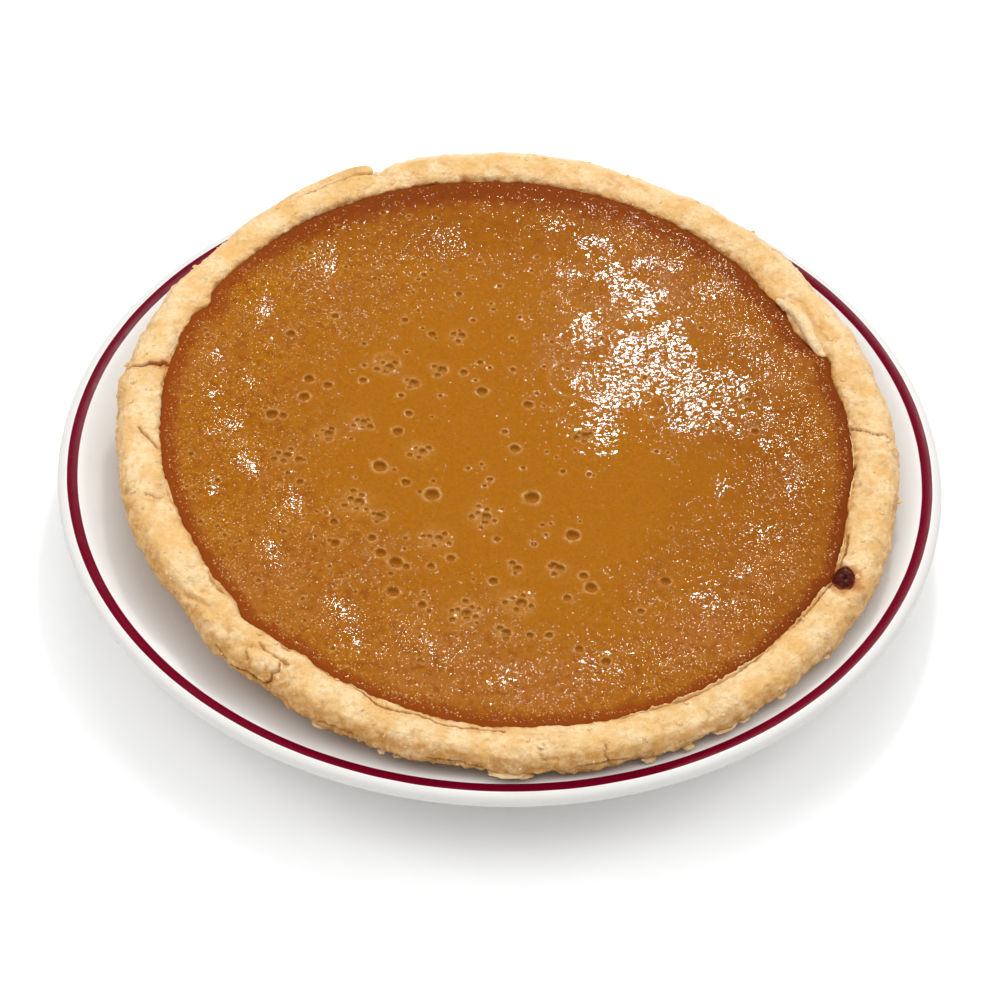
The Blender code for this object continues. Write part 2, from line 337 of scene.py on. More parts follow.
# each light: where it is, what it is aimed at, its width and height, how bright its face is
lightSet = {
    "window": ((0.146, 1.01, 1.17), (0.04, 0.03, 0.04), (0.1, 0.14), 92),
    "skyPanel": ((0.08, 1.05, 1.25), (0, 0, 0.03), (1.3, 0.45), 4.4),
    "ceiling": ((0, -0.5, 1.75), (0, -0.5, 0), (2.8, 2.8), 0.92),
    "leftWall": ((-1.3, -0.1, 1.2), (0, 0, 0.02), (1.2, 1.2), 2.4),
    "rightWall": ((1.3, 0.1, 1.2), (0, 0, 0.02), (1.2, 1.2), 2.2),
    "frontWall": ((0, -1.9, 0.9), (0, 0, 0.02), (1.6, 1), 1.6),
}
glossyLights = ("window",)  # the others are soft fill that gloss doesn't mirror
worldGlow = 0.14
floorSize = 6


def makeCamera():
    lift = math.radians(cameraView["elevation"])
    roll = math.radians(cameraView["roll"])
    back = Vector((0, -math.cos(lift), math.sin(lift)))
    right = Vector((1, 0, 0))
    up = back.cross(right)
    turnedRight = right * math.cos(roll) + up * math.sin(roll)
    turnedUp = up * math.cos(roll) - right * math.sin(roll)
    data = bpy.data.cameras.new("pieCamera")
    data.lens = cameraView["lens"]
    data.sensor_width = 36
    camera = addObject("pieCamera", data)
    camera.matrix_world = Matrix((turnedRight, turnedUp, back)).transposed().to_4x4()
    camera.matrix_world.translation = Vector(cameraView["target"]) + back * cameraView["distance"]
    bpy.context.scene.camera = camera


def makeLight(name, place, aim, size, glow):
    data = bpy.data.lights.new(name, "AREA")
    data.shape = "RECTANGLE"
    data.size, data.size_y = size
    data.energy = glow * math.pi * size[0] * size[1]
    light = addObject(name, data)
    away = Vector(place) - Vector(aim)
    light.matrix_world = away.to_track_quat("Z", "Y").to_matrix().to_4x4()
    light.matrix_world.translation = place
    light.visible_glossy = name in glossyLights


def makeFloor():
    shade = Shade("paleFloor")
    shade.colour = shade.blend(shade.grain(60), (0.94, 0.94, 0.94), (0.955, 0.955, 0.955))
    shade.tree.links.new(shade.colour, shade.shader.inputs["Base Color"])
    shade.tree.links.new(shade.cloud(4, 0.3, 0.7, 0.8, 0.9), shade.shader.inputs["Roughness"])
    shade.shader.inputs["Specular IOR Level"].default_value = 0.1
    half = floorSize / 2
    corners = [(-half, -half, 0), (half, -half, 0), (half, half, 0), (-half, half, 0)]
    mesh = bpy.data.meshes.new("floor")
    mesh.from_pydata(corners, [], [(0, 1, 2, 3)])
    mesh.materials.append(shade.material)
    floor = addObject("floor", mesh)
    floor.location.z = -0.2 * mm


def makeStudio():
    makeCamera()
    for name, values in lightSet.items():
        makeLight(name, *values)
    world = bpy.data.worlds.new("studio")
    world.use_nodes = True
    background = world.node_tree.nodes["Background"]
    background.inputs["Color"].default_value = (1, 1, 1, 1)
    background.inputs["Strength"].default_value = worldGlow
    bpy.context.scene.world = world
    bpy.context.scene.view_settings.view_transform = "Standard"
    makeFloor()
    print("studio ready")


# plate

plateLook = {
    "segments": 288,
    "glaze": (0.83, 0.815, 0.795),
    "shadedEdgeGlaze": (0.71, 0.695, 0.675),
    "bareClay": (0.62, 0.57, 0.5),
    "bandColour": (0.165, 0, 0.014),
    "speck": (0.45, 0.4, 0.34),
    "band": (127.4, 130.55),
    "bandSoft": 0.1,
    "bandHeight": (23.5, 24),
    "bandWander": 0.12,
    "footBareHeight": 0.5,
    "slope": 22.5,
    "edgeRoll": 2.2,
    "lipCentre": 131.9,
    "lipEndTilt": 2,
    "lipRound": 18,
    "vergeRadius": 28,
    "wellHeight": 7.5,
    "underHeight": 2.5,
    "foot": (85.5, 80.5),
    "footRound": 0.8,
}


def plateProfile(radius, height):
    look = plateLook
    slope = look["slope"]
    run = math.tan(math.radians(slope))
    lip = arcPoints((look["lipCentre"], height - look["lipRound"]), look["lipRound"],
                    90 + slope, 90 + look["lipEndTilt"], 8)
    rise = look["vergeRadius"] * (1 - math.cos(math.radians(slope)))
    vergeEnd = lip[0][0] - (lip[0][1] - look["wellHeight"] - rise) / run
    vergeStart = vergeEnd - look["vergeRadius"] * math.sin(math.radians(slope))
    verge = arcPoints((vergeStart, look["wellHeight"] + look["vergeRadius"]), look["vergeRadius"],
                      -90, slope - 90, 10)
    roll = look["edgeRoll"]
    edge = arcPoints((radius - roll, height - roll), roll, 90, slope - 90, 16)
    outer, inner = look["foot"]
    footRound = look["footRound"]
    underTop = look["underHeight"] + footRound
    underEnd = np.array((edge[-1][0] - (edge[-1][1] - underTop) / run, underTop))
    footOutside = arcPoints((outer - footRound, footRound), footRound, 0, -90, 4)
    footInside = arcPoints((inner + footRound, footRound), footRound, 270, 180, 4)
    well = [(part * vergeStart, look["wellHeight"]) for part in (0.3, 0.6, 0.85)]
    slopeSteps = [mix(verge[-1], lip[0], part) for part in (0.25, 0.5, 0.75)]
    underSteps = [mix(edge[-1], underEnd, part) for part in (0.2, 0.4, 0.6, 0.8, 1)]
    foot = (footOutside, footInside, [(inner - footRound, look["underHeight"])])
    return np.concatenate((well, verge, slopeSteps, lip, edge[1:], underSteps, *foot))


def plateMaterial():
    look = plateLook
    shade = Shade("glazedStoneware")
    flat = shade.add("ShaderNodeVectorMath", {0: shade.place, 1: (1, 1, 0)}, operation="MULTIPLY")
    radius = shade.add("ShaderNodeVectorMath", {0: flat.outputs[0]}, operation="LENGTH").outputs["Value"]
    wander = shade.calc("MULTIPLY_ADD", shade.grain(14), look["bandWander"] * 2, -look["bandWander"])
    radius = shade.calc("ADD", radius, wander)
    height = shade.add("ShaderNodeSeparateXYZ", {0: shade.place}).outputs["Z"]
    soft = look["bandSoft"]
    first, last = look["band"]
    band = shade.times(shade.fade(radius, first - soft, first + soft),
                       shade.fade(radius, last - soft, last + soft, 1, 0))
    band = shade.times(band, shade.fade(height, *look["bandHeight"]))
    glaze = shade.darker(shade.grain(22), look["glaze"], 0.965)
    # painted shade: the glaze beyond the band is darker, where the rim turns down and out
    glaze = shade.blend(shade.fade(radius, last, last + 0.8), glaze, look["shadedEdgeGlaze"])
    glaze = shade.blend(shade.fade(shade.spots(5.5), 0.03, 0.06, 0.18, 0), glaze, look["speck"])
    shade.colour = shade.blend(band, glaze, shade.darker(shade.grain(3), look["bandColour"], 0.75))
    bare = shade.fade(height, look["footBareHeight"] * 0.6, look["footBareHeight"], 1, 0)
    shade.layer(bare, shade.darker(shade.grain(0.8), look["bareClay"], 0.82))
    roughness = shade.calc("MAXIMUM", shade.cloud(9, 0.3, 0.7, 0.2, 0.28), shade.times(bare, 0.8))
    ripple = shade.times(shade.grain(16, 1), 0.05)
    pitting = shade.times(shade.grain(0.6), shade.times(bare, 0.08))
    shade.shader.inputs["IOR"].default_value = 1.52
    return shade.finish(roughness, shade.calc("ADD", ripple, pitting), 0.04)


def makePlate():
    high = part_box("plate")[1]
    profile = plateProfile(high.x / mm, high.z / mm)
    turn = circle(plateLook["segments"])
    rings = places(profile[:, :1] * np.cos(turn), profile[:, :1] * np.sin(turn), profile[:, 1:])
    poles = [(0, 0, plateLook["wellHeight"]), (0, 0, plateLook["underHeight"])]
    shape = closedRings(rings.reshape(-1, 3), len(profile), poles)
    makePiece("glazedPlate", shape, plateMaterial(), replaced=["plate"])


# crust

crustLook = {
    "step": 0.42,
    "usualRadius": 113,
    "fineStretches": ((168, 176, 0.17), (184, 198, 0.25), (217, 236, 0.26), (236, 274, 0.18),
                      (284, 365, 0.27), (14, 34, 0.27), (108, 130, 0.28)),
    "innerRows": 24,
    "outerRows": 26,
    "underRows": 7,
    "sink": 0.15,
    "lumps": ((9, 0.28, 20), (14, 0.24, 120), (23, 0.176, 230), (37, 0.12, 70)),
    "dents": ((171, 3, 0.6), (200.4, 2.6, 1.1), (221, 3.2, 1.6), (237.5, 1.8, 0.8)),
    "swell": 0.5,
    "knead": 0.5,
    "pebble": 0.85,
    "crumble": 0.35,
    "crumbly": (235, 6, 1.7),
    "raggedEdge": 0.6,
    "plainSide": (212, 62),
    "brownAndShadedSide": (258, 80),
    "paleSide": (85, 70),
    "goldenShadedLip": (32, 55),
    "cream": (0.84, 0.625, 0.355),
    "gold": (0.74, 0.45, 0.17),
    "toasted": (0.5, 0.235, 0.058),
    "flour": (0.88, 0.7, 0.46),
    "stain": (0.4, 0.105, 0.014),
    "stainTongues": ((331.2, 1, 6.5), (98.2, 0.7, 3)),
    "crackShade": (0.33, 0.12, 0.024),
}

# cracks as (direction, across) points, with half width and depth in mm, how strong the painted shade in
# them is, how stained
crustCracks = (
    (((171, -0.1), (171.1, 0.1), (171.9, 0.2), (172, 0.4), (172.9, 0.56), (172.7, 0.78),
      (172.9, 1)), 0.6, 1.9, 0.95, 1),
    (((186, 0.46), (186.9, 0.4), (188, 0.26), (189, 0.16), (190.2, 0.06)), 0.42, 1, 0.8, 0.1),
    (((199.6, 0.55), (200.2, 0.4), (201.2, 0.3), (200.8, 0.18)), 0.5, 1.2, 0.5, 0),
    (((2.2, 0.02), (1.5, 0.2), (1.2, 0.34), (0.5, 0.5), (0.9, 0.66), (0.4, 0.86)), 0.42, 1.9, 1, 0.1),
    (((219.4, 0.9), (220.4, 0.78), (222, 0.66), (223.4, 0.6), (224.6, 0.46)), 1.3, 1, 0.15, 0),
    (((237.6, 1), (238.6, 0.88), (238.2, 0.76), (239, 0.64), (238.4, 0.5)), 0.5, 1.5, 0.5, 0),
    (((229, 0.95), (232, 1), (235.4, 0.97), (239.4, 1)), 0.45, 1.2, 0.7, 0),
    (((233.4, 0.52), (233, 0.66), (234.2, 0.78), (233.6, 0.92)), 0.28, 0.7, 0.45, 0),
    (((234, 0.36), (235.6, 0.42), (237.6, 0.36), (239.6, 0.42)), 0.45, 1, 0.6, 0),
    (((244, 0.05), (246.5, 0.04), (249.4, 0.05), (251.4, 0.1), (253, 0.22), (254.6, 0.3),
      (257, 0.24), (259, 0.13), (261.4, 0.16), (263.6, 0.24), (265.7, 0.22), (268, 0.14),
      (271.9, 0.18)), 0.44, 0.5, 1, 0.1),
    (((247, 1), (249.5, 0.98), (252, 0.99)), 0.3, 0.8, 0.7, 0),
    (((262, 0.99), (266, 0.98), (269.5, 1)), 0.3, 0.8, 0.7, 0),
    (((281, 0.99), (285, 0.97), (288, 0.99)), 0.3, 0.7, 0.6, 0),
    (((33.5, 0.3), (31, 0.37), (28, 0.36), (25, 0.36), (22, 0.32)), 0.8, 0.9, 0.1, 0),
    (((287, 0.03), (292, 0.06), (297, 0.05), (303, 0.08), (308, 0.06), (313, 0.03)),
     0.5, 1.3, 0.85, 0.1),
    (((319, 0.05), (322.5, 0.1), (326, 0.09), (329.5, 0.12)), 0.55, 1.3, 0.75, 0.1),
    (((332.6, 0.1), (336, 0.13), (339.5, 0.08)), 0.5, 1.2, 0.7, 0),
    (((285, 0.72), (284.6, 0.88), (285.2, 1)), 0.35, 0.8, 0.4, 0),
    (((277, 0.55), (276.2, 0.74), (277.2, 0.9)), 0.3, 0.6, 0.3, 0),
    (((127, 0.7), (122, 0.66), (117, 0.66), (112.6, 0.68)), 0.55, 1.3, 0.7, 0),
)


def crustDirections():  # closer together where there is fine work
    fine = np.arange(0, 360, 0.02)
    step = np.full(len(fine), crustLook["step"])
    for first, last, small in crustLook["fineStretches"]:
        away = np.abs(turnBetween(fine, (first + last) / 2)) - (last - first) / 2
        step = np.minimum(step, mix(small, crustLook["step"], ease(away, 0, 3)))
    travelled = np.concatenate([[0], np.cumsum(0.02 / step)])
    count = int(travelled[-1])
    return np.interp(np.arange(count) * travelled[-1] / count, travelled, np.append(fine, 360))


def rimRows():  # (across, drop) from the filling over the crest to the under edge
    shape = pieShape
    crest = shape["crestAcross"]
    inward = np.linspace(180, 90, crustLook["innerRows"] + 1)[:-1]
    outward = np.linspace(90, 0, crustLook["outerRows"] + 1)[:-1]
    under = np.linspace(0, -60, crustLook["underRows"] + 1)
    (inX, inUp), (outX, outUp), (underX, underUp) = polar(inward), polar(outward), polar(under)
    across = crest + np.concatenate([crest * inX, (1 - crest) * outX, (1 - crest) * underX])
    drop = np.concatenate([shape["lipDrop"] * (1 - inUp), shape["sideDrop"] * (1 - outUp),
                           shape["sideDrop"] - shape["underDrop"] * underUp])
    return across, drop


def crustSections(direction):
    # distance and height of every row, its share across the rim, and how far it is below the crest
    shape = pieShape
    inner = outlineRadius(direction, "inner")
    outer = outlineRadius(direction, "outer")
    lean = leaning(*polar(direction))
    even = np.ones_like(direction)
    rows = []

    def addRow(distance, height, across, drop):
        rows.append((distance * even, height * even, across * even, drop * even))

    def addLeaning(distance, below, across, drop):
        addRow(distance, shape["crestHeight"] - below + distance * lean, across, drop)

    def addSteps(start, end, parts, drop):
        for part in parts:
            addRow(mix(start[0], end[0], part), mix(start[1], end[1], part), 0.6, drop)

    addRow(*shape["floor"], -1, 30)
    addRow(*shape["wallFoot"], -1, 25)
    addLeaning(inner - 1, 6, -0.3, 6)
    addLeaning(inner - 0.5, 4, -0.15, 4)
    for across, drop in zip(*rimRows()):
        addLeaning(inner + across * (outer - inner), drop, across, drop)
    under = rows[-1][:2]
    cut = inner + shape["wallTopWidth"]
    cutPlace = (cut, shape["crestHeight"] - shape["undercutDepth"] + cut * lean)
    addSteps(under, cutPlace, (0.5,), 9.5)
    addSteps(under, cutPlace, (1,), 10)
    x, y = polar(np.array((50, 25, 0)), shape["baseRoundRadius"])
    base = list(zip(shape["baseFlatRadius"] + y, shape["baseHeight"] + shape["baseRoundRadius"] - x))
    addSteps(cutPlace, base[0], (0.15, 0.45), 12)
    for distance, height in base:
        addRow(distance, height, 0.6, 14)
    return [np.array(part) for part in zip(*rows)]


def crackDistance(direction, slide, line, slideAt):
    # mm from each place on the rim to a line of (direction, across) points
    middle = line[0][0]
    x = np.radians(turnBetween(direction, middle)) * crustLook["usualRadius"]
    nearest = np.full(direction.shape, 99)
    stops = [(math.radians(turnBetween(turn, middle)) * crustLook["usualRadius"], slideAt(across))
             for turn, across in line]
    for (ax, ay), (bx, by) in zip(stops, stops[1:]):
        dx, dy = bx - ax, by - ay
        part = np.clip(((x - ax) * dx + (slide - ay) * dy) / (dx * dx + dy * dy), 0, 1)
        nearest = np.minimum(nearest, np.hypot(x - ax - part * dx, slide - ay - part * dy))
    return nearest


def pleatNoise(direction, slide, width, length):
    around = np.radians(direction) * crustLook["usualRadius"]
    return softNoise(places(around / width, slide / length, 0), 1, 61)


def crustRelief(direction, across, drop, flat, slide, slideAt):
    # how far the surface stands out, and what the material reads
    look = crustLook
    side = ease(drop, 1.2, 5)
    lower = ease(drop, 3.6, 6.2)
    seen = ease(drop, 13, 10) * (across > -0.2)
    ringPlace = places(*polar(direction, look["usualRadius"]), slide)
    busy = np.clip(0.25 + 0.75 * side + 0.35 * softNoise(flat, 22, 31), 0, 1)
    bent = flat + 0.6 * softNoise(flat, 2.5, 41)[:, None]
    middle, halfWidth, depth = look["crumbly"]
    crumbly = turned(direction, middle, halfWidth) ** 0.5 * ease(across, 0.22, 0.42)
    layers = 2.6 * layeredNoise(flat, 9, 65, 2)
    ledge = layers - np.floor(layers)
    fine = look["knead"] * layeredNoise(flat, 6, 21, 2) * (0.6 + 0.4 * side)
    fine += look["pebble"] * (0.42 - pebbles(bent, 3.6, 42)) * busy
    fine += depth * (0.4 - pebbles(bent, 3.8, 45)) * crumbly
    fine += look["crumble"] * layeredNoise(flat, 1.7, 51, 2) * (0.6 + 0.6 * side)
    fine += 0.26 * (ease(ledge, 0.72, 0.98) - ledge) * (0.35 + 0.65 * side)
    out = fine - look["sink"] + look["swell"] * layeredNoise(flat, 17, 11, 2)
    for count, height, start in look["lumps"]:
        out += height * np.sin(np.radians(count * direction + start)) * ease(across, -0.1, 0.15)
    for centre, halfWidth, depth in look["dents"]:
        out -= depth * turned(direction, centre, halfWidth) * (1 - side) * (across > 0)
    # faint pleats that run across the top
    pleats = 0.6 + 0.4 * np.cos(np.radians(direction - 20))
    out += 0.07 * pleatNoise(direction, slide, 1.3, 9) * pleats * bell(across - 0.5, 0.4)
    # layers that show on the outside, and a ragged lower edge
    layerPlace = ringPlace * (1 / 7, 1 / 7, 1 / 0.75)
    out += 0.16 * softNoise(layerPlace, 1, 71) * side * (0.5 + 0.5 * softNoise(flat, 11, 72))
    ragged = np.abs(softNoise(ringPlace * (1 / 2.6, 1 / 2.6, 1 / 1.6), 1, 81)) - 0.3
    out += look["raggedEdge"] * lower * (ragged + 0.3 * softNoise(flat, 9, 82))
    # uneven lip against the filling
    out += bell(slide, 1.6) * (0.28 * layeredNoise(flat, 2.6, 91, 2) + 0.2 * softNoise(flat, 7, 93))
    stain = np.zeros(len(direction))
    crackShadow = np.zeros(len(direction))
    wobble = 0.3 * layeredNoise(flat, 2.2, 95, 2)
    for line, halfWidth, depth, shade, stained in crustCracks:
        away = crackDistance(direction, slide + wobble, line, slideAt)
        out -= depth * np.clip(1 - away / halfWidth, 0, 1) ** 0.8
        out += 0.16 * bell(away - halfWidth * 1.6, halfWidth * 0.6)
        # painted shade in each crack, standing in for the shadow inside it
        crackShadow = np.maximum(crackShadow, shade * ease(away, 1.1 * halfWidth, 0.45 * halfWidth))
        stain = np.maximum(stain, bell(away, halfWidth * 2.5) * ease(slide, 9, 5) * stained)
    # the last value is painted shade for the hollows between lumps
    return out * seen, crackShadow, stain, ease(-fine, 0.05, 0.65)


def crustFacts(direction, across, drop, flat, slide, crackShadow, stain, hollowShade):
    # crust colour: the lip by the filling and the outside brown a little more. The same browning also holds
    # painted shade, on the outer side toward the front, in the hollows and on the inner lip at the back.
    edgeNoise = layeredNoise(flat, 3, 97, 3)
    look = crustLook
    plain = turned(direction, *look["plainSide"])
    # browner lower down the outside, most toward the front: partly browning, partly painted shade on the
    # side turned from the light
    frontBrownAndShade = 0.15 + 0.72 * turned(direction, *look["brownAndShadedSide"])
    toastAndShade = frontBrownAndShade * ease(drop + 0.5 * edgeNoise, 0.5, 1.9) + 0.7 * hollowShade
    toastAndShade += bell(slide, 2.2) * (0.5 + 0.4 * edgeNoise) * (1 - 0.85 * plain)
    toastAndShade += 0.2 * ease(layeredNoise(flat, 12, 98, 3), 0.15, 0.8)
    # inner lip at the back made more golden: partly browning, partly painted shade where the lip faces away
    # from the light
    toastAndShade += 0.42 * turned(direction, *look["goldenShadedLip"]) * bell(slide, 6) * (0.7 + 0.5 * edgeNoise)
    pleats = np.clip(pleatNoise(direction, slide, 1.7, 10), 0, 1) * bell(across - 0.5, 0.4)
    toastAndShade += 0.3 * pleats * (0.55 + 0.45 * np.cos(np.radians(direction - 15)))
    pale = 0.65 * turned(direction, *look["paleSide"]) * (across > 0.5)
    pale *= ease(drop + 0.4 * edgeNoise, 0.3, 1.4)
    fringe = bell(slide, 0.6) * np.clip(0.2 + 0.9 * edgeNoise, 0, 0.8) * (1 - 0.8 * plain)
    stain = np.maximum(stain, fringe)
    for middle, halfWidth, reach in look["stainTongues"]:
        tongue = turned(direction, middle, halfWidth) * ease(slide, reach, 0.45 * reach)
        stain = np.maximum(stain, 0.8 * tongue)
    dripX, dripY = polar(dripLook["direction"], dripLook["distance"])
    wide, long = dripLook["stainReach"]
    aroundDrip = np.hypot((flat[:, 0] - dripX) / wide, (flat[:, 1] - dripY) / long)
    stain = np.maximum(stain, 0.75 * ease(aroundDrip + 0.25 * edgeNoise, 1.15, 0.7))
    return {"toastAndShade": np.clip(toastAndShade, 0, 1), "stain": np.clip(stain, 0, 1), "crackShadow": crackShadow, "pale": pale}


def crustMaterial():
    look = crustLook
    shade = Shade("shortPastry")
    shade.colour = shade.blend(shade.cloud(9, 0.36, 0.66, roughness=0.6), look["cream"], look["gold"])
    shade.layer(shade.cloud(1.5, 0.46, 0.68, 0, 0.75, roughness=0.65), look["gold"])
    browned = shade.cloud(2.6, 0.32, 0.62, 0.5, 1, detail=4, roughness=0.6)
    # browning, with the painted shade carried in the same fact
    shade.layer(shade.times(shade.fact("toastAndShade"), browned), look["toasted"])
    flour = shade.calc("MAXIMUM", shade.cloud(0.9, 0.6, 0.78, 0, 0.35, detail=2), shade.fact("pale"))
    shade.layer(flour, look["flour"])
    shade.layer(shade.fade(shade.spots(1.9), 0.05, 0.16, 0.35, 0), look["toasted"])
    shade.layer(shade.fact("stain"), look["stain"])
    # painted shade in the cracks
    shade.layer(shade.fact("crackShadow"), look["crackShade"])
    coarse = shade.times(shade.grain(2.4, 2.5), 1.1)
    height = shade.calc("ADD", coarse, shade.times(shade.grain(0.7, 1), 0.2))
    return shade.finish(shade.cloud(3, 0.3, 0.7, 0.62, 0.8), height, 0.24)


def makeCrust():
    directions = crustDirections()
    distance, height, across, drop = crustSections(directions)
    base = places(*polar(directions, distance), height)
    out = np.cross(np.gradient(base, axis=0), np.roll(base, -1, axis=1) - np.roll(base, 1, axis=1))
    out /= np.linalg.norm(out, axis=2)[:, :, None]
    # mm along the surface from the filling's edge
    stepLength = np.hypot(np.diff(distance, axis=0), np.diff(height, axis=0)).mean(axis=1)
    slideRow = np.concatenate([[0], np.cumsum(stepLength)])
    lipRow = int(np.argmax(across[:, 0] >= 0))
    slideRow -= slideRow[lipRow]
    rim = slice(lipRow, lipRow + crustLook["innerRows"] + crustLook["outerRows"])
    rimShares = across[rim, 0]

    def slideAt(share):
        return share * 14 if share < 0 else float(np.interp(share, rimShares, slideRow[rim]))

    flat = base.reshape(-1, 3)
    direction = np.tile(directions, len(distance))
    slide = np.repeat(slideRow, len(directions))
    across, drop = across.ravel(), drop.ravel()
    lift, *marks = crustRelief(direction, across, drop, flat, slide, slideAt)
    facts = crustFacts(direction, across, drop, flat, slide, *marks)
    facts = {name: np.append(values, (0, 0)) for name, values in facts.items()}
    poles = [(0, 0, pieShape["floor"][1]), (0, 0, pieShape["baseHeight"])]
    shape = closedRings(flat + lift[:, None] * out.reshape(-1, 3), len(distance), poles)
    pastry = crustMaterial()
    return makePiece("bakedCrust", shape, pastry, facts, ["crust"]), pastry


# filling

fillingLook = {
    "rings": ((0, -0.75), (0.35, -0.65), (0.68, -0.25), (0.87, 0.25), (0.955, 0.35), (1, 0)),
    "usualRadius": 107,
    "bubbles": 330,
    "tuckedIn": 0.8,
    "gap": 0.3,
    "wallGap": 1.3,
    "netReach": 122,
    "edgeSink": 0.35,
    "shine": (42, 28),
    "openSpacing": 0.95,
    "edgeSpacing": 0.6,
    "bubbleSpacing": 0.32,
    "busyPatches": ((36, 30, 24), (30, 56, 22), (54, 8, 14)),
    "rosyPatches": ((-64, -68, 17), (-16, -94, 17), (12, -96, 15), (58, -78, 12),
                    (77, -52, 9), (86, 26, 8), (-90, 18, 9)),
    "rustWidth": 4.4,
    # the wide stretch at the back also paints in the shade along the back crust
    "rustWider": ((268, 38, 2.2), (92, 55, 10.5), (20, 35, 1.4), (180, 35, 1.8)),
    "ochre": (0.372, 0.124, 0.002),
    "amber": (0.345, 0.105, 0.0045),
    "baked": (0.262, 0.075, 0.0016),
    "rosy": (0.345, 0.112, 0.015),
    "rust": (0.235, 0.044, 0.001),
    "deepRustAndShade": (0.178, 0.032, 0.0005),
    "mottle": (0.24, 0.06, 0.002),
    "speck": (0.1, 0.022, 0.004),
    "pitShade": (0.185, 0.052, 0.002),
    "foam": (0.55, 0.285, 0.085),
    "blisterTopAndGlint": (0.88, 0.72, 0.46),
}

# wrinkled skin: x, y, half width, and how much its creases rise in mm; low where the window shines
wrinklePatches = (
    (25, 40, 6, 0.14), (32, 17, 10, 0.14), (42, 26, 10, 0.14), (50, 37, 8, 0.14), (43, 53, 6, 0.14),
    (38, 34, 6, 0.14), (57, 20, 9, 0.15), (57, 7, 7, 0.16), (68, 20, 7, 0.17), (66, 8, 6, 0.18),
    (46, 70, 4, 0.17), (37, 61, 5, 0.16), (29, -2, 7, 0.16), (32, 67, 5, 0.16), (14, 88, 4, 0.22),
    (-83, -4, 9, 0.17), (-76, -20, 7, 0.17), (-86, -30, 5, 0.17), (-88, 10, 6, 0.17), (-79, 10, 5, 0.17),
    (-69, -10, 5, 0.17), (-91, 21, 5, 0.2), (-66, -56, 7, 0.18), (-44, -77, 6, 0.18), (-40, -86, 5, 0.18),
    (-61, -36, 5, 0.2), (-78, 48, 9, 0.22), (-60, 68, 9, 0.2), (80, 8, 4.5, 0.25), (88, -18, 4.5, 0.26),
    (74, 42, 3, 0.25), (66, 62, 4, 0.28), (76, -38, 4.5, 0.26), (62, -66, 4.5, 0.26), (84, -4, 4, 0.26),
    (-74, 1, 6, 0.17), (-82, -40, 5, 0.18), (-72, 24, 5, 0.19), (28, 78, 5, 0.2), (20, 66, 4, 0.19),
    (30, -90, 6, 0.28), (-20, -88, 6, 0.28), (-52, 82, 5, 0.26), (-20, 76, 6, 0.2), (52, 70, 4, 0.28),
    (82, 30, 4, 0.25), (4, -98, 5, 0.3), (92, 4, 5, 0.32), (70, -52, 4, 0.27), (66, -22, 3.5, 0.26),
)

# shallow dishes in the skin: x, y, half width and depth; their far sides catch the window
dishes = (
    (-75, -6, 6, 0.8), (-70, -22, 5, 0.66), (-81, -31, 4.5, 0.62), (-83, 7, 4.5, 0.66),
    (-74, 11, 4.5, 0.6), (-84, 21, 4, 0.5), (-61, -52, 4.5, 0.62), (-40, -72, 4.5, 0.56),
    (-36, -82, 4, 0.46), (-56, -34, 4, 0.46), (-70, 42, 5, 0.44), (-52, 62, 5, 0.36),
)

# broken bubbles: x, y and radius in mm
singleBubbles = (
    (-28, 2, 1.2), (-31, -5.5, 1.6), (-35.5, -19.8, 2.1), (-27.6, -25.5, 1.4), (-19.7, -29.7, 2.2),
    (-36.4, -47.7, 1.3), (-33.5, -53.2, 1.6), (-29, -56.6, 2), (-26, -57.9, 1.2), (-29.3, -67.4, 1.8),
    (-20.8, -71.6, 1.3), (-13.3, -53.7, 1.3), (-18.9, -57.1, 1.2), (-0.2, -45.6, 1.1), (-2.9, -22.6, 1),
    (4.2, -9.8, 1.6), (1, -3.2, 1), (9.6, -28.8, 2.2), (21.8, -42.6, 2), (10.5, -46.8, 1),
    (16.5, -54.6, 1.5), (25.1, -57.8, 1.3), (27.2, -62.1, 1.8), (-0.9, -61.4, 1.4), (20.4, -66.3, 1.2),
    (10.1, -80.8, 1.1), (15.4, -80.4, 1.2), (24, -84.9, 1.3), (31.6, -89, 1.4), (18.6, -17.9, 0.9),
    (26.3, -18.5, 0.9), (22.6, -4, 1.3), (26.5, -2.5, 1), (-42.5, 14.6, 1.2), (-30.7, 9.2, 1),
    (-31, 40.9, 1.1), (-22.4, 35.5, 1.3), (-12.1, 20.2, 1.3), (-7.3, 24.7, 1), (-6.3, 12.7, 1.7),
    (7.7, 8.3, 1.5), (2.8, 22.5, 1), (-26, 60.9, 1), (-14.8, 53.4, 1.1), (74.4, 14.5, 1.2),
    (76.2, 1.9, 1.2), (48.8, -58.4, 1.5), (41.5, -70, 1.1), (-52.6, 40.9, 1.2), (-65.6, 32.2, 1.5),
    (-58.8, 13.8, 1.6), (-52.9, 11.7, 1.4), (-59.8, 6.3, 1.7), (-68.8, -1.4, 1.8), (-65.5, -1.8, 1.2),
    (-59.5, -19.1, 1.3), (-58.6, -27.7, 1.1), (-47.7, -42.4, 1.2), (-46.9, -50.4, 1.4),
)

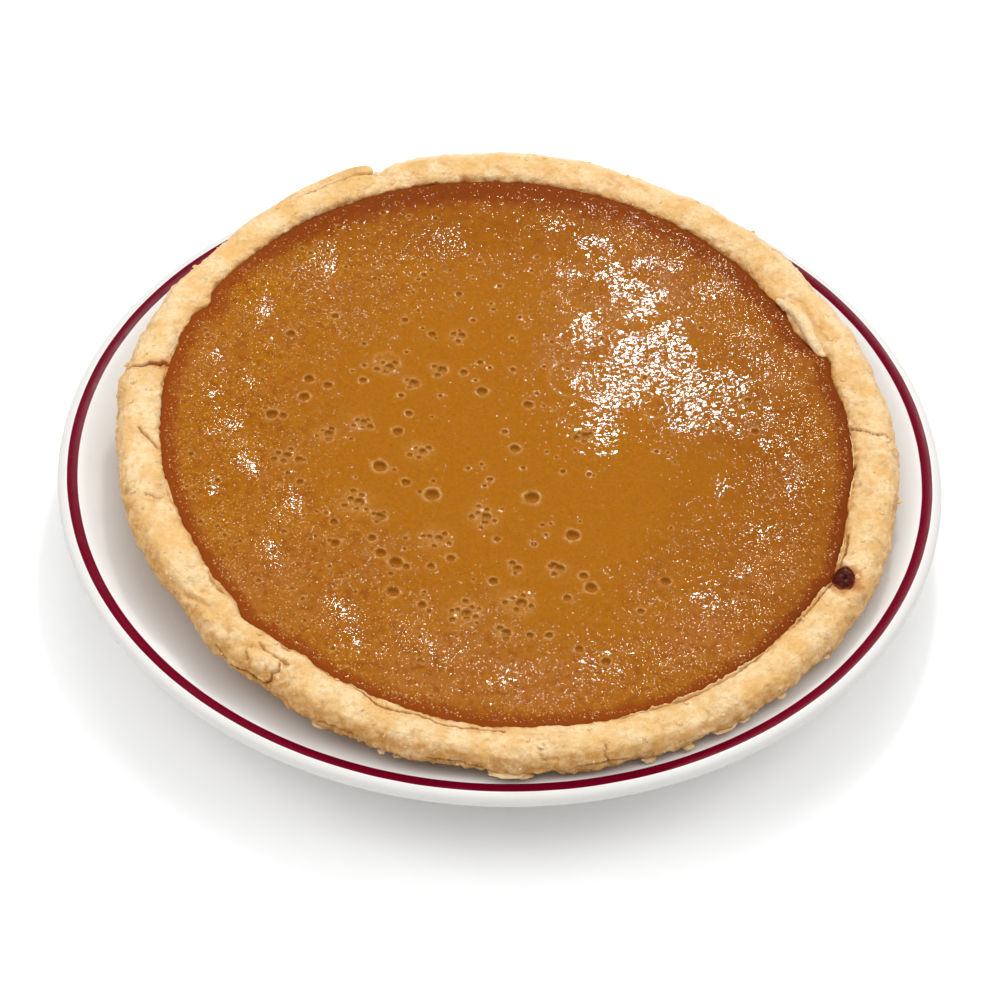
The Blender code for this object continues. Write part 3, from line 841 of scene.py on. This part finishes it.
# groups of bubbles: x, y, how far they spread, how many
bubbleGroups = (
    (-42, -2.7, 3.2, 6), (-24, -13, 3.6, 5), (-41.8, -34.3, 4.6, 7), (-35, -39.5, 2.6, 4),
    (-17.9, -46.8, 4.4, 6), (-4.5, -37.1, 4.6, 8), (6.4, -69, 4.2, 6), (-8.9, -73.5, 4.8, 9),
    (5.2, -56, 2.6, 3), (-35.6, 21, 3.6, 5), (-27.9, 14.8, 2.4, 3), (-19.7, 20.9, 2.8, 3),
    (-14.2, 35.5, 2.6, 3), (-52.2, -8.2, 3.2, 5), (-64, -17.5, 3.6, 5), (24.5, -3.2, 2.4, 3),
    (17.2, -55.5, 2.6, 3), (2.4, -80.2, 2.6, 3),
)

# wide flat rings left by large bubbles: x, y, radius
wideRings = ((-35.6, 22.5, 4.2), (21.2, 20.1, 7.6), (46.1, 9.9, 4.4), (6.4, -69, 4.6))


def fillingBubbles():
    random = np.random.default_rng(31)
    found = list(singleBubbles)
    for x, y, spread, count in bubbleGroups:
        for number in range(count):
            turn = number * 2.4 + random.uniform(-0.4, 0.4)
            away = spread * math.sqrt((number + 0.3) / count)
            size = random.uniform(0.7, 1.1) if number else random.uniform(1.3, 1.8)
            found.append((x + away * math.cos(turn), y + away * math.sin(turn), size))
    while len(found) < fillingLook["bubbles"]:
        turn = random.uniform(0, 360)
        away = math.sqrt(random.uniform(0.02, 0.92))
        x, y = polar(turn, away * outlineRadius(turn, "inner"))
        crowded = 0.5 + 0.5 * math.sin((x + 20) / 31) * math.cos((y - 10) / 27)
        size = random.uniform(0.4, 0.85)
        if random.uniform(0, 1) < crowded * (1 if x < 25 else 0.35):
            found.append((x, y, size))
    return found


def placeOnFilling(x, y):  # share of the way to the crust, and mm left to it
    reach = outlineRadius(np.degrees(np.arctan2(y, x)), "inner")
    distance = np.hypot(x, y)
    return distance / reach, reach - distance


def ringLift(share):
    steps = np.linspace(0, 1.1, 221)
    kernel = np.exp(-((np.arange(-14, 15) / 7) ** 2))
    plain = np.pad(np.interp(steps, *zip(*fillingLook["rings"])), 14, mode="edge")
    return np.interp(share, steps, np.convolve(plain, kernel / kernel.sum(), mode="valid"))


def nearPatches(x, y, patches):  # 1 in the middle of any of the patches, fading round it
    return np.max([bell(np.hypot(x - a, y - b), halfWidth) for a, b, halfWidth in patches], axis=0)


def raiseTo(values, near, least):
    values[near] = np.maximum(values[near], least)


def fillingSurface(x, y, bubbles):
    # height of the filling's skin, and what its material reads
    look = fillingLook
    share, left = placeOnFilling(x, y)
    flat = places(x, y, 0)
    level = lipLevel(x, y) + ringLift(share) + 0.06 * layeredNoise(flat, 30, 111, 2)
    spread = layeredNoise(flat, 30, 115, 3)
    busy = ease(share + 0.1 * spread + 0.13 * ease(-x, -10, 60), 0.48, 0.9)
    busy = np.maximum(busy, nearPatches(x, y, look["busyPatches"]))
    rosy = nearPatches(x, y, look["rosyPatches"]) * ease(share + 0.1 * spread, 0.62, 0.86)
    # creases: the patch edges wander, and fade out toward the smooth middle
    swayX = 4 * softNoise(flat, 9, 116)
    swayY = 4 * softNoise(flat, 9, 118)
    fray = 0.34 * softNoise(flat, 2.2, 120) + 0.12 * softNoise(flat, 5, 122)
    # scattered glints, steeper further from where the window shines
    gloss = busy * ease(softNoise(flat, 1.7, 124), 0.43, 0.59)
    shineX, shineY = look["shine"]
    fromShine = np.hypot(x - shineX, y - shineY)
    wrinkle = np.maximum(0.006 + 0.03 * busy, gloss * np.clip(0.14 + 0.0022 * fromShine, 0, 0.32))
    for patchX, patchY, halfWidth, height in wrinklePatches:
        patch = bell(np.hypot(x + swayX - patchX, y + swayY - patchY), 1.3 * halfWidth)
        wrinkle = np.maximum(wrinkle, height * ease(patch + fray, 0.15, 0.55))
        gloss = np.maximum(gloss, ease(0.78 * patch + 1.25 * fray, 0.3, 0.6))
    for dishX, dishY, halfWidth, depth in dishes:
        level -= 1.15 * depth * bell(np.hypot(x + 0.3 * swayX - dishX, y + 0.3 * swayY - dishY), halfWidth)
    level += 0.07 * busy * softNoise(flat, 9, 119)
    level += (0.006 + 0.22 * wrinkle) * layeredNoise(flat, 4.2, 121, 2)
    level -= look["edgeSink"] * ease(left, 1.2, -0.3)
    level += 0.22 * bell(left - 1.6, 0.9) * layeredNoise(flat, 2.4, 131, 2)
    pit, foam, raised, sunk = np.zeros((4, len(x)))
    for bubbleX, bubbleY, radius in bubbles:
        near = np.flatnonzero((np.abs(x - bubbleX) < radius * 2.2) & (np.abs(y - bubbleY) < radius * 2.2))
        if not len(near):
            continue
        dx = x[near] - bubbleX
        dy = y[near] - bubbleY
        uneven = 1 + 0.14 * softNoise(places(dx, dy, bubbleX), radius * 1.1, 141)
        away = np.hypot(dx, dy) / (radius * uneven)
        raiseTo(sunk, near, 0.5 * radius * np.clip(1 - away ** 2, 0, 1) ** 0.75)
        raiseTo(raised, near, 0.13 * min(radius, 1.5) * bell(away - 1.12, 0.2))
        # painted shade: each pit's far wall is made darker than its near wall
        farWallShade = 0.22 + 0.78 * ease(dy / radius, -0.1, 0.7)
        raiseTo(pit, near, ease(away, 1.02, 0.8) * farWallShade)
        broken = np.clip(0.62 + 0.75 * softNoise(flat[near], 1.2 * radius, 155), 0.15, 1)
        raiseTo(foam, near, bell(away - 1.2, 0.24) * broken)
    for ringX, ringY, radius in wideRings:
        away = np.hypot(x - ringX, y - ringY) + 0.5 * softNoise(flat, 3, 151)
        ring = bell(away - radius, 0.55)
        raised = np.maximum(raised, 0.16 * ring)
        foam = np.maximum(foam, 0.55 * ring * (0.6 + 0.4 * softNoise(flat, 1.6, 152)))
    froth = nearPatches(x + 0.4 * swayX, y + 0.4 * swayY, [(a, b, 0.9 * c) for a, b, c, _ in bubbleGroups])
    foam = np.maximum(foam, froth * np.clip(0.42 + 0.7 * softNoise(flat, 1.2, 154), 0, 0.75))
    level += np.where(sunk > 0.02, -sunk, raised)
    foam = foam * (1 - pit)
    gloss = np.maximum(gloss, ease(foam + pit, 0.1, 0.5))
    direction = np.degrees(np.arctan2(y, x))
    width = look["rustWidth"] + sum(more * turned(direction, middle, halfWidth)
                                    for middle, halfWidth, more in look["rustWider"])
    # darker toward the back and the right: partly baked colour, partly painted shade
    baked = 0.85 * ease(y + 6 * spread, 52, 92) + 0.95 * ease(x + 8 * spread, 44, 82)
    return level, {"busy": busy, "rosy": rosy, "baked": np.clip(baked, 0, 1), "wrinkle": wrinkle,
                   "gloss": gloss, "rust": 1 - ease(left / width, 0.1, 1.25), "pit": pit, "foam": foam}


def fillingSpots(bubbles):
    # an open net of points, a finer one by the crust and the finest at the bubbles
    look = fillingLook
    random = np.random.default_rng(5)
    kept = []
    for wanted, spacing in enumerate((look["openSpacing"], look["edgeSpacing"], look["bubbleSpacing"])):
        columns = np.arange(-look["netReach"], look["netReach"], spacing)
        rows = np.arange(-look["netReach"], look["netReach"], spacing * math.sqrt(0.75))
        net = [np.stack([columns + number % 2 * spacing / 2, np.full(len(columns), y)], axis=1)
               for number, y in enumerate(rows)]
        found = np.concatenate(net)
        found = found + random.uniform(-0.12, 0.12, found.shape) * spacing
        found = found[placeOnFilling(found[:, 0], found[:, 1])[1] > 0.25 - look["tuckedIn"]]
        x, y = found.T
        fineness = (placeOnFilling(x, y)[1] < 4).astype(int)
        for bubbleX, bubbleY, radius in bubbles:
            fineness[np.hypot(x - bubbleX, y - bubbleY) < radius * 1.55] = 2
        kept.append(found[fineness == wanted])
    return np.concatenate(kept)


def fillingMaterial():
    look = fillingLook
    shade = Shade("bakedPumpkin")
    busy = shade.fact("busy")
    shade.colour = shade.blend(shade.times(busy, shade.cloud(14, 0.35, 0.65)), look["ochre"], look["amber"])
    dusty = shade.cloud(0.9, 0.38, 0.62, 0, 0.55, roughness=0.7)
    shade.layer(dusty, tuple(0.72 * part for part in look["ochre"]))
    # darker toward the back and the right: partly baked colour, partly painted shade
    baked = shade.times(shade.fact("baked"), shade.cloud(7, 0.3, 0.7, 0.6, 1))
    shade.layer(baked, look["baked"])
    blush = shade.times(shade.fact("rosy"), shade.cloud(8, 0.3, 0.6, 0.35, 0.95))
    shade.layer(blush, look["rosy"])
    mottle = shade.cloud(2.4, 0.44, 0.7, 0, 0.75)
    shade.layer(shade.times(mottle, busy), look["mottle"])
    wander = shade.calc("MULTIPLY_ADD", shade.grain(3.4), 1, -0.5)
    rusty = shade.fade(shade.calc("ADD", shade.fact("rust"), wander), 0.1, 0.95)
    shade.layer(rusty, look["rust"])
    # darker rust by the back and right edges: browned edge with painted shade over it
    shade.layer(shade.times(rusty, shade.fact("baked")), look["deepRustAndShade"])
    # pits darker inside, most on the far wall: partly their colour, partly painted shade
    shade.layer(shade.times(shade.fact("pit"), 0.8), look["pitShade"])
    foam = shade.fact("foam")
    shade.layer(shade.times(foam, shade.cloud(0.7, 0.3, 0.6, 0.45, 1)), look["foam"])
    # blister tops paler and brighter: partly paler skin, partly a painted glint
    shade.layer(shade.fade(foam, 0.9, 1.4), look["blisterTopAndGlint"])
    shade.layer(shade.fade(shade.spots(2.3), 0.05, 0.1, 0.7, 0), look["speck"])
    # glossy only where the skin is creased or has burst, or it would shine as a whole
    frayed = shade.calc("MULTIPLY_ADD", shade.grain(1.1, 1), 1.3, -0.65)
    dull = shade.fade(shade.calc("ADD", shade.fact("gloss"), frayed), 0.42, 0.54, 1, 0)
    roughness = shade.calc("MULTIPLY_ADD", dull, shade.cloud(5, 0.3, 0.7, 0.78, 0.9), 0.05)
    longPlace = shade.placeInMm((0.84, 1.06, 1))
    scales = shade.times(shade.calc("POWER", shade.spots(1.2, longPlace), 4), -0.66)
    tilt = shade.times(shade.grain(1.35, 0, place=longPlace), 0.52)
    skin = shade.times(shade.calc("ADD", tilt, scales), shade.fact("wrinkle"))
    return shade.finish(roughness, skin, 0.27)


def makeFilling():
    look = fillingLook
    bubbles = fillingBubbles()
    inside = fillingSpots(bubbles)
    count = int(2 * math.pi * look["usualRadius"] / look["edgeSpacing"])
    turn = np.arange(count) * 360 / count
    reach = outlineRadius(turn, "inner")
    border = np.stack(polar(turn, reach + look["tuckedIn"]), axis=1)
    edges = [(number, (number + 1) % count) for number in range(count)]
    allSpots = [Vector(spot) for spot in np.concatenate([border, inside]).tolist()]
    net = delaunay_2d_cdt(allSpots, edges, [], 1, 1e-6, False)
    allSpots = np.array([tuple(spot) for spot in net[0]])
    triangles = np.array(net[2])
    first, second, third = (allSpots[triangles[:, corner]] for corner in range(3))
    under = np.cross(second - first, third - first) < 0
    triangles[under] = triangles[under][:, ::-1]
    level, facts = fillingSurface(*allSpots.T, bubbles)
    top = np.column_stack([allSpots, level])
    # wall and floor inside the crust
    total = len(top)
    x, y = polar(turn, reach - look["wallGap"])
    wall = places(x, y, pieShape["crestHeight"] - 6 + leaning(x, y))
    x, y = polar(turn, pieShape["wallFoot"][0] - look["gap"])
    low = places(x, y, pieShape["wallFoot"][1])
    points = np.concatenate([top, wall, low, [(0, 0, pieShape["floor"][1] + look["gap"])]])
    here = np.arange(count)
    after = (here + 1) % count
    faces = triangles.tolist()
    for upper, lower in ((0, total), (total, total + count)):
        faces += np.stack([upper + here, lower + here, lower + after, upper + after], axis=1).tolist()
    faces += places(total + count + here, len(points) - 1, total + count + after).tolist()
    facts = {name: np.append(values, np.zeros(2 * count + 1)) for name, values in facts.items()}
    custard = fillingMaterial()
    makePiece("pumpkinFilling", (points, faces), custard, facts, ["filling"])
    return bubbles, custard


# small blisters in the skin of the filling

blisterLook = {
    "count": 26000,
    "sides": 6,
    "smallest": 0.2,
    "largest": 0.52,
    "height": 0.13,
    "sink": 0.01,
    "paleTopAndGlint": (0.35, 1.5),
}


def makeBlisters(bubbles, material):
    look = blisterLook
    sides = look["sides"]
    random = np.random.default_rng(77)
    tries = look["count"] * 5
    turn = random.uniform(0, 360, tries)
    away = np.sqrt(random.uniform(0, 0.985, tries))
    x, y = polar(turn, away * (outlineRadius(turn, "inner") - 0.6))
    facts = fillingSurface(x, y, bubbles)[1]
    patches = softNoise(places(x, y, 0), 9, 161)
    chance = facts["busy"] * (0.5 + 0.5 * patches) * (facts["pit"] < 0.05) * (facts["foam"] < 0.3)
    chance *= 1 - 0.85 * ease(y, 58, 82) * ease(x, 45, 15)
    kept = np.flatnonzero(random.uniform(0, 1, tries) < chance + 0.015)[:look["count"]]
    radius = mix(look["smallest"], look["largest"], random.uniform(0, 1, len(kept)) ** 2.2)
    # each is a low cone: its top first, then its rim
    turn = np.append(0, circle(sides))
    spread = radius[:, None] * np.append(0, np.ones(sides))
    x = (x[kept][:, None] + spread * np.cos(turn)).ravel()
    y = (y[kept][:, None] + spread * np.sin(turn)).ravel()
    level, facts = fillingSurface(x, y, bubbles)
    lift = look["height"] * (radius[:, None] - spread) - look["sink"]
    # each cone's top is painted pale and bright: partly paler skin, partly a painted glint
    pale = np.zeros(spread.shape)
    pale[:, 0] = random.uniform(*look["paleTopAndGlint"], len(kept))
    facts["foam"] = np.maximum(facts["foam"], pale.ravel())
    facts["gloss"] = np.ones(len(x))
    facts["wrinkle"] = np.zeros(len(x))
    one = np.array([(0, 1 + side, 1 + (side + 1) % sides) for side in range(sides)])
    faces = (one[None] + (np.arange(len(kept)) * (sides + 1))[:, None, None]).reshape(-1, 3).tolist()
    shape = (places(x, y, level + lift.ravel()), faces)
    makePiece("skinBlisters", shape, material, facts)


# what lies on the crust

class CrustTop:  # finds the top of the crust under a place
    def __init__(self, crust):
        mesh = crust.data
        self.tree = BVHTree.FromPolygons([vertex.co for vertex in mesh.vertices],
                                         [polygon.vertices for polygon in mesh.polygons])

    def under(self, x, y):
        hit = self.tree.ray_cast(Vector((x * mm, y * mm, 0.09)), Vector((0, 0, -1)))
        return None if hit[0] is None else (np.array(hit[0]) / mm, np.array(hit[1]))


rollLook = {
    "steps": 90,
    "sides": 20,
    "curl": ((34, 102.3, 0.7, 0.5), (33.2, 102.4, 1.3, 0.9), (31.6, 103.1, 1.8, 1.4), (29.4, 104.1, 2, 1.6),
             (27, 104, 2.1, 1.7), (24.6, 103.3, 2, 1.6), (22.4, 103.1, 1.8, 1.4), (20.4, 103.5, 1.4, 1),
             (19.2, 104.5, 0.8, 0.6)),
    "strip": ((131, 113.4, 0.3, 0.3), (128, 114.8, 1.2, 0.9), (124, 115.6, 1.6, 1.1), (119, 116, 1.9, 1.3),
              (115.5, 116.2, 2.1, 1.4), (113.4, 115.8, 2.1, 1.4), (112.8, 115.6, 1.3, 0.9)),
}


def makePastry(name, shape, material, toastAndShade, pale=0):
    toastAndShade = np.clip(toastAndShade + 0.25 * layeredNoise(shape[0], 4, 171, 2), 0, 1)
    makePiece(name, shape, material, {"toastAndShade": toastAndShade, "pale": np.full(len(toastAndShade), pale)})


def rollAlong(stops, lift, seed):
    # stops hold direction, distance, half width and half height of a roll that lies on the crust
    steps, sides = rollLook["steps"], rollLook["sides"]
    marks = np.linspace(0, len(stops) - 1, steps)
    values = [np.interp(marks, np.arange(len(stops)), column) for column in zip(*stops)]
    kernel = (0.25, 0.5, 0.25)
    for column in range(2):
        for _ in range(steps // 6):
            values[column][1:-1] = np.convolve(values[column], kernel, mode="valid")
    direction, distance, widths, heights = values
    level = rimHeight(direction, distance) + lift * heights
    for _ in range(4):
        level[1:-1] = np.convolve(level, kernel, mode="valid")
    spine = places(*polar(direction, distance), level)
    outward = places(*polar(direction), 0)[:, None]
    upward = np.array((0, 0, 1))
    turn = circle(sides)[:, None]
    rings = spine[:, None] + outward * (widths[:, None, None] * np.cos(turn))
    points = (rings + upward * (heights[:, None, None] * np.sin(turn))).reshape(-1, 3)
    noise = 0.1 * layeredNoise(points, 1.8, seed, 2)[:, None]
    points += noise * np.tile(places(np.cos(turn), 0, np.sin(turn))[:, 0], (steps, 1))
    points, faces = closedRings(points, steps, [spine[0], spine[-1]])
    return points, [face[::-1] for face in faces]


def makeRolls(material):
    makePastry("curledLip", rollAlong(rollLook["curl"], -0.05, 181), material, 0.05, 0.35)
    makePastry("outerStrip", rollAlong(rollLook["strip"], -0.15, 182), material, 0.25)


# thin torn lips by the filling: first and last direction, distance past the filling's edge, rise
lipLook = {
    "tears": ((287, 313, 0.2, 1.3), (319, 329, 0.5, 1.5), (333, 339.5, 0.6, 1.4),
              (346, 352.5, 0.2, 0.9), (354, 361.5, 0.1, 0.7)),
    "section": ((0, 0), (-0.25, 0.5), (-0.7, 0.9), (-0.75, 1), (-0.35, 1.03), (0.3, 0.85), (1, 0.45),
                (1.3, 0)),
    "thickness": 0.32,
    "step": 0.22,
}


def makeLips(material):
    look = lipLook
    across, up = np.array(look["section"]).T
    shapes = []
    for number, (first, last, offset, rise) in enumerate(look["tears"]):
        steps = int((last - first) / look["step"])
        direction = np.linspace(first, last, steps)
        part = np.linspace(0, 1, steps)
        place = places(direction, 0, number * 9)
        ends = ease(part, 0, 0.14) * ease(part, 1, 0.86)
        tall = rise * ends * np.clip(0.6 + 1.1 * layeredNoise(place, 1.3, 191, 3), 0.05, 1.3)
        inner = outlineRadius(direction, "inner")
        away = inner + offset + 0.55 * layeredNoise(place, 3, 195, 3)
        thick = 1.2 * look["thickness"] * (0.35 + 0.65 * ends)
        x, y = polar(direction[:, None], away[:, None] + across * thick[:, None])
        level = (lipLevel(*polar(direction, inner)) - 0.9)[:, None] + up * (0.9 + tall)[:, None]
        points = places(x, y, level).reshape(-1, 3)
        outward = places(*polar(direction), 0)
        poles = [points[:len(up)].mean(axis=0), points[-len(up):].mean(axis=0)]
        points = points + 0.1 * softNoise(points, 1.1, 197)[:, None] * np.repeat(outward, len(up), axis=0)
        shapes.append(closedRings(points, steps, poles))
    makePastry("tornLips", joinShapes(shapes), material, 0.12)


# flakes: direction, distance beyond the outer edge, height under the crest, length, width, thickness
flakeLook = {
    "edgeFlakes": (
        (272.4, -0.2, 6.6, 11, 1.9, 0.5), (274.2, 0.2, 7, 6, 1.5, 0.45), (256, 0.3, 7.4, 2.2, 1.4, 0.8),
        (258, 0.4, 7.8, 2.6, 1.2, 0.6), (290.5, 0.3, 7.4, 4.6, 1.5, 0.55), (296, 0.3, 7.2, 3.6, 1.5, 0.6),
        (301.5, -0.3, 6.4, 8.5, 1.8, 0.55), (304.5, -0.1, 6.8, 4, 1.5, 0.5),
        (311, 0.3, 6.8, 3.6, 1.4, 0.6), (350.2, 0.4, 5, 1.8, 1.2, 0.7), (171.4, 0.6, 4.2, 1.9, 0.7, 0.5),
        (173.6, 0.5, 5.4, 1.5, 0.6, 0.45), (176, 0.2, 6.4, 1.6, 0.9, 0.5), (206, 0.1, 7, 2.2, 1.2, 0.7),
        (247, 0.3, 7.4, 5, 1.5, 0.55), (320, 0.2, 6.4, 3, 1.3, 0.6), (148, 0.3, 4.4, 1.6, 1, 0.6),
    ),
    "loose": 230,
    "looseLargest": 0.9,
    "looseSmallest": 0.3,
}


def flake(centre, long, wide, normal, length, width, thickness, random):
    sides = 14 if length < 2 else 26
    turn = circle(sides)
    uneven = 1 + random.uniform(-0.22, 0.22, sides) * (1 if sides < 20 else 0.5)
    rim = np.outer(np.cos(turn) * length * uneven, long) + np.outer(np.sin(turn) * width * uneven, wide)
    up = normal * thickness
    rings = [0.62 * rim + up * 0.5, rim + up * 0.15, rim - up * 0.15, 0.62 * rim - up * 0.5]
    points = centre + np.concatenate(rings)
    points = points + random.uniform(-0.1, 0.1, points.shape) * thickness * 1.5
    return closedRings(points, 4, [centre + up * 0.55, centre - up * 0.55])


def makeFlakes(top, material):
    look = flakeLook
    random = np.random.default_rng(203)
    shapes = []
    for direction, beyond, below, length, width, thickness in look["edgeFlakes"]:
        outward = np.array((*polar(direction), 0))
        along = np.array((-outward[1], outward[0], 0))
        tucked = 0.45 * max(0, below - pieShape["sideDrop"])
        distance = outlineRadius(direction, "outer") - tucked + beyond - 0.6
        centre = outward * distance
        centre[2] = pieShape["crestHeight"] + leaning(centre[0], centre[1]) - below
        tilt = random.uniform(-0.35, 0.1)
        wide = outward * math.cos(tilt) + np.array((0, 0, math.sin(tilt)))
        normal = np.cross(wide, along)
        normal = normal * np.sign(normal[2])
        shapes.append(flake(centre, along, wide, normal, length / 2, width, thickness, random))
    for _ in range(look["loose"]):
        direction = random.uniform(0, 360)
        share = random.uniform(0.02, 0.93) if random.uniform() < 0.5 else random.uniform(0.6, 0.97)
        distance = mix(outlineRadius(direction, "inner"), outlineRadius(direction, "outer"), share)
        hit = top.under(*polar(direction, distance))
        if hit is None:
            continue
        found, normal = hit
        size = mix(look["looseSmallest"], look["looseLargest"], random.uniform(0, 1) ** 2.5)
        long = np.array((*polar(math.degrees(random.uniform(0, math.pi))), 0))
        long = long - normal * long.dot(normal)
        long /= np.linalg.norm(long)
        width = size * random.uniform(0.5, 0.9)
        shapes.append(flake(found + normal * size * 0.12, long, np.cross(normal, long), normal, size, width,
                            size * 0.6, random))
    makePastry("crustFlakes", joinShapes(shapes), material, 0.1, 0.1)


# burnt drip

dripLook = {
    "direction": 330.9,
    "distance": 114.2,
    "sides": 64,
    "rows": 16,
    "halfSize": (3.6, 4.6),
    "stainReach": (5.4, 6.4),
    "height": 1.1,
    "pit": (0.4, -0.6, 0.5, 0.9),
    "burnt": (0.04, 0.005, 0.0025),
    "ember": (0.092, 0.012, 0.005),
    "holeShade": (0.012, 0.004, 0.004),
    "caramel": (0.3, 0.07, 0.01),
}


def dripMaterial():
    look = dripLook
    shade = Shade("burntSugar")
    shade.colour = shade.blend(shade.cloud(0.9, 0.35, 0.65), look["burnt"], look["ember"])
    rim = shade.calc("ADD", shade.fact("edge"), shade.calc("MULTIPLY_ADD", shade.grain(1.2), 0.3, -0.15))
    shade.layer(shade.fade(rim, 0.82, 1.02), look["caramel"])
    shade.layer(shade.fact("hole"), look["holeShade"])
    roughness = shade.cloud(1.4, 0.3, 0.7, 0.3, 0.45)
    return shade.finish(roughness, shade.times(shade.grain(0.8, 1), 0.1), 0.18)


def makeDrip(top):
    look = dripLook
    centreX, centreY = polar(look["direction"], look["distance"])
    sides, rows = look["sides"], look["rows"]
    turn = circle(sides)
    wide, long = look["halfSize"]
    reach = 1 / np.hypot(np.cos(turn) / wide, np.sin(turn) / long)
    ringPlace = places(np.cos(turn), np.sin(turn), 0)
    reach *= 1 + 0.1 * layeredNoise(ringPlace, 0.9, 211, 2)
    edge = np.repeat(np.linspace(0.06, 1, rows), sides)
    away = edge * np.tile(reach, rows)
    x = centreX + away * np.tile(np.cos(turn), rows)
    y = centreY + away * np.tile(np.sin(turn), rows)
    seat = np.array([top.under(*place)[0][2] for place in zip(x, y)]).reshape(rows, sides)
    for _ in range(6):
        seat[:-1] = (seat[:-1] + np.roll(seat[:-1], 1, axis=1) + np.roll(seat[:-1], -1, axis=1)) / 3
    points = places(x, y, seat.ravel())
    dome = look["height"] * np.sqrt(np.clip(1 - edge ** 2.6, 0, 1)) - 0.12
    wrinkle = 0.16 * layeredNoise(points, 1.5, 215, 3) * (1 - edge ** 6)
    pitX, pitY, pitSize, pitDepth = look["pit"]
    hole = bell(np.hypot(x - centreX - pitX, y - centreY - pitY), pitSize)
    upper = points.copy()
    upper[:, 2] += dome + wrinkle - pitDepth * hole
    lower = points[-sides:] - (0, 0, 1)
    poles = [upper[:sides].mean(axis=0), lower.mean(axis=0)]
    shape = closedRings(np.concatenate([upper, lower]), rows + 1, poles)
    facts = {"edge": np.concatenate([edge, np.ones(sides), [0, 1]]),
             "hole": np.concatenate([hole, np.zeros(sides), hole[:1], [0]])}
    makePiece("burntDrip", shape, dripMaterial(), facts, ["filling_drip"])


# all together

makeStudio()
makePlate()
crustPiece, pastry = makeCrust()
allBubbles, custard = makeFilling()
makeBlisters(allBubbles, custard)
crustTop = CrustTop(crustPiece)
makeRolls(pastry)
makeLips(pastry)
makeFlakes(crustTop, pastry)
makeDrip(crustTop)

print("pieces ready")
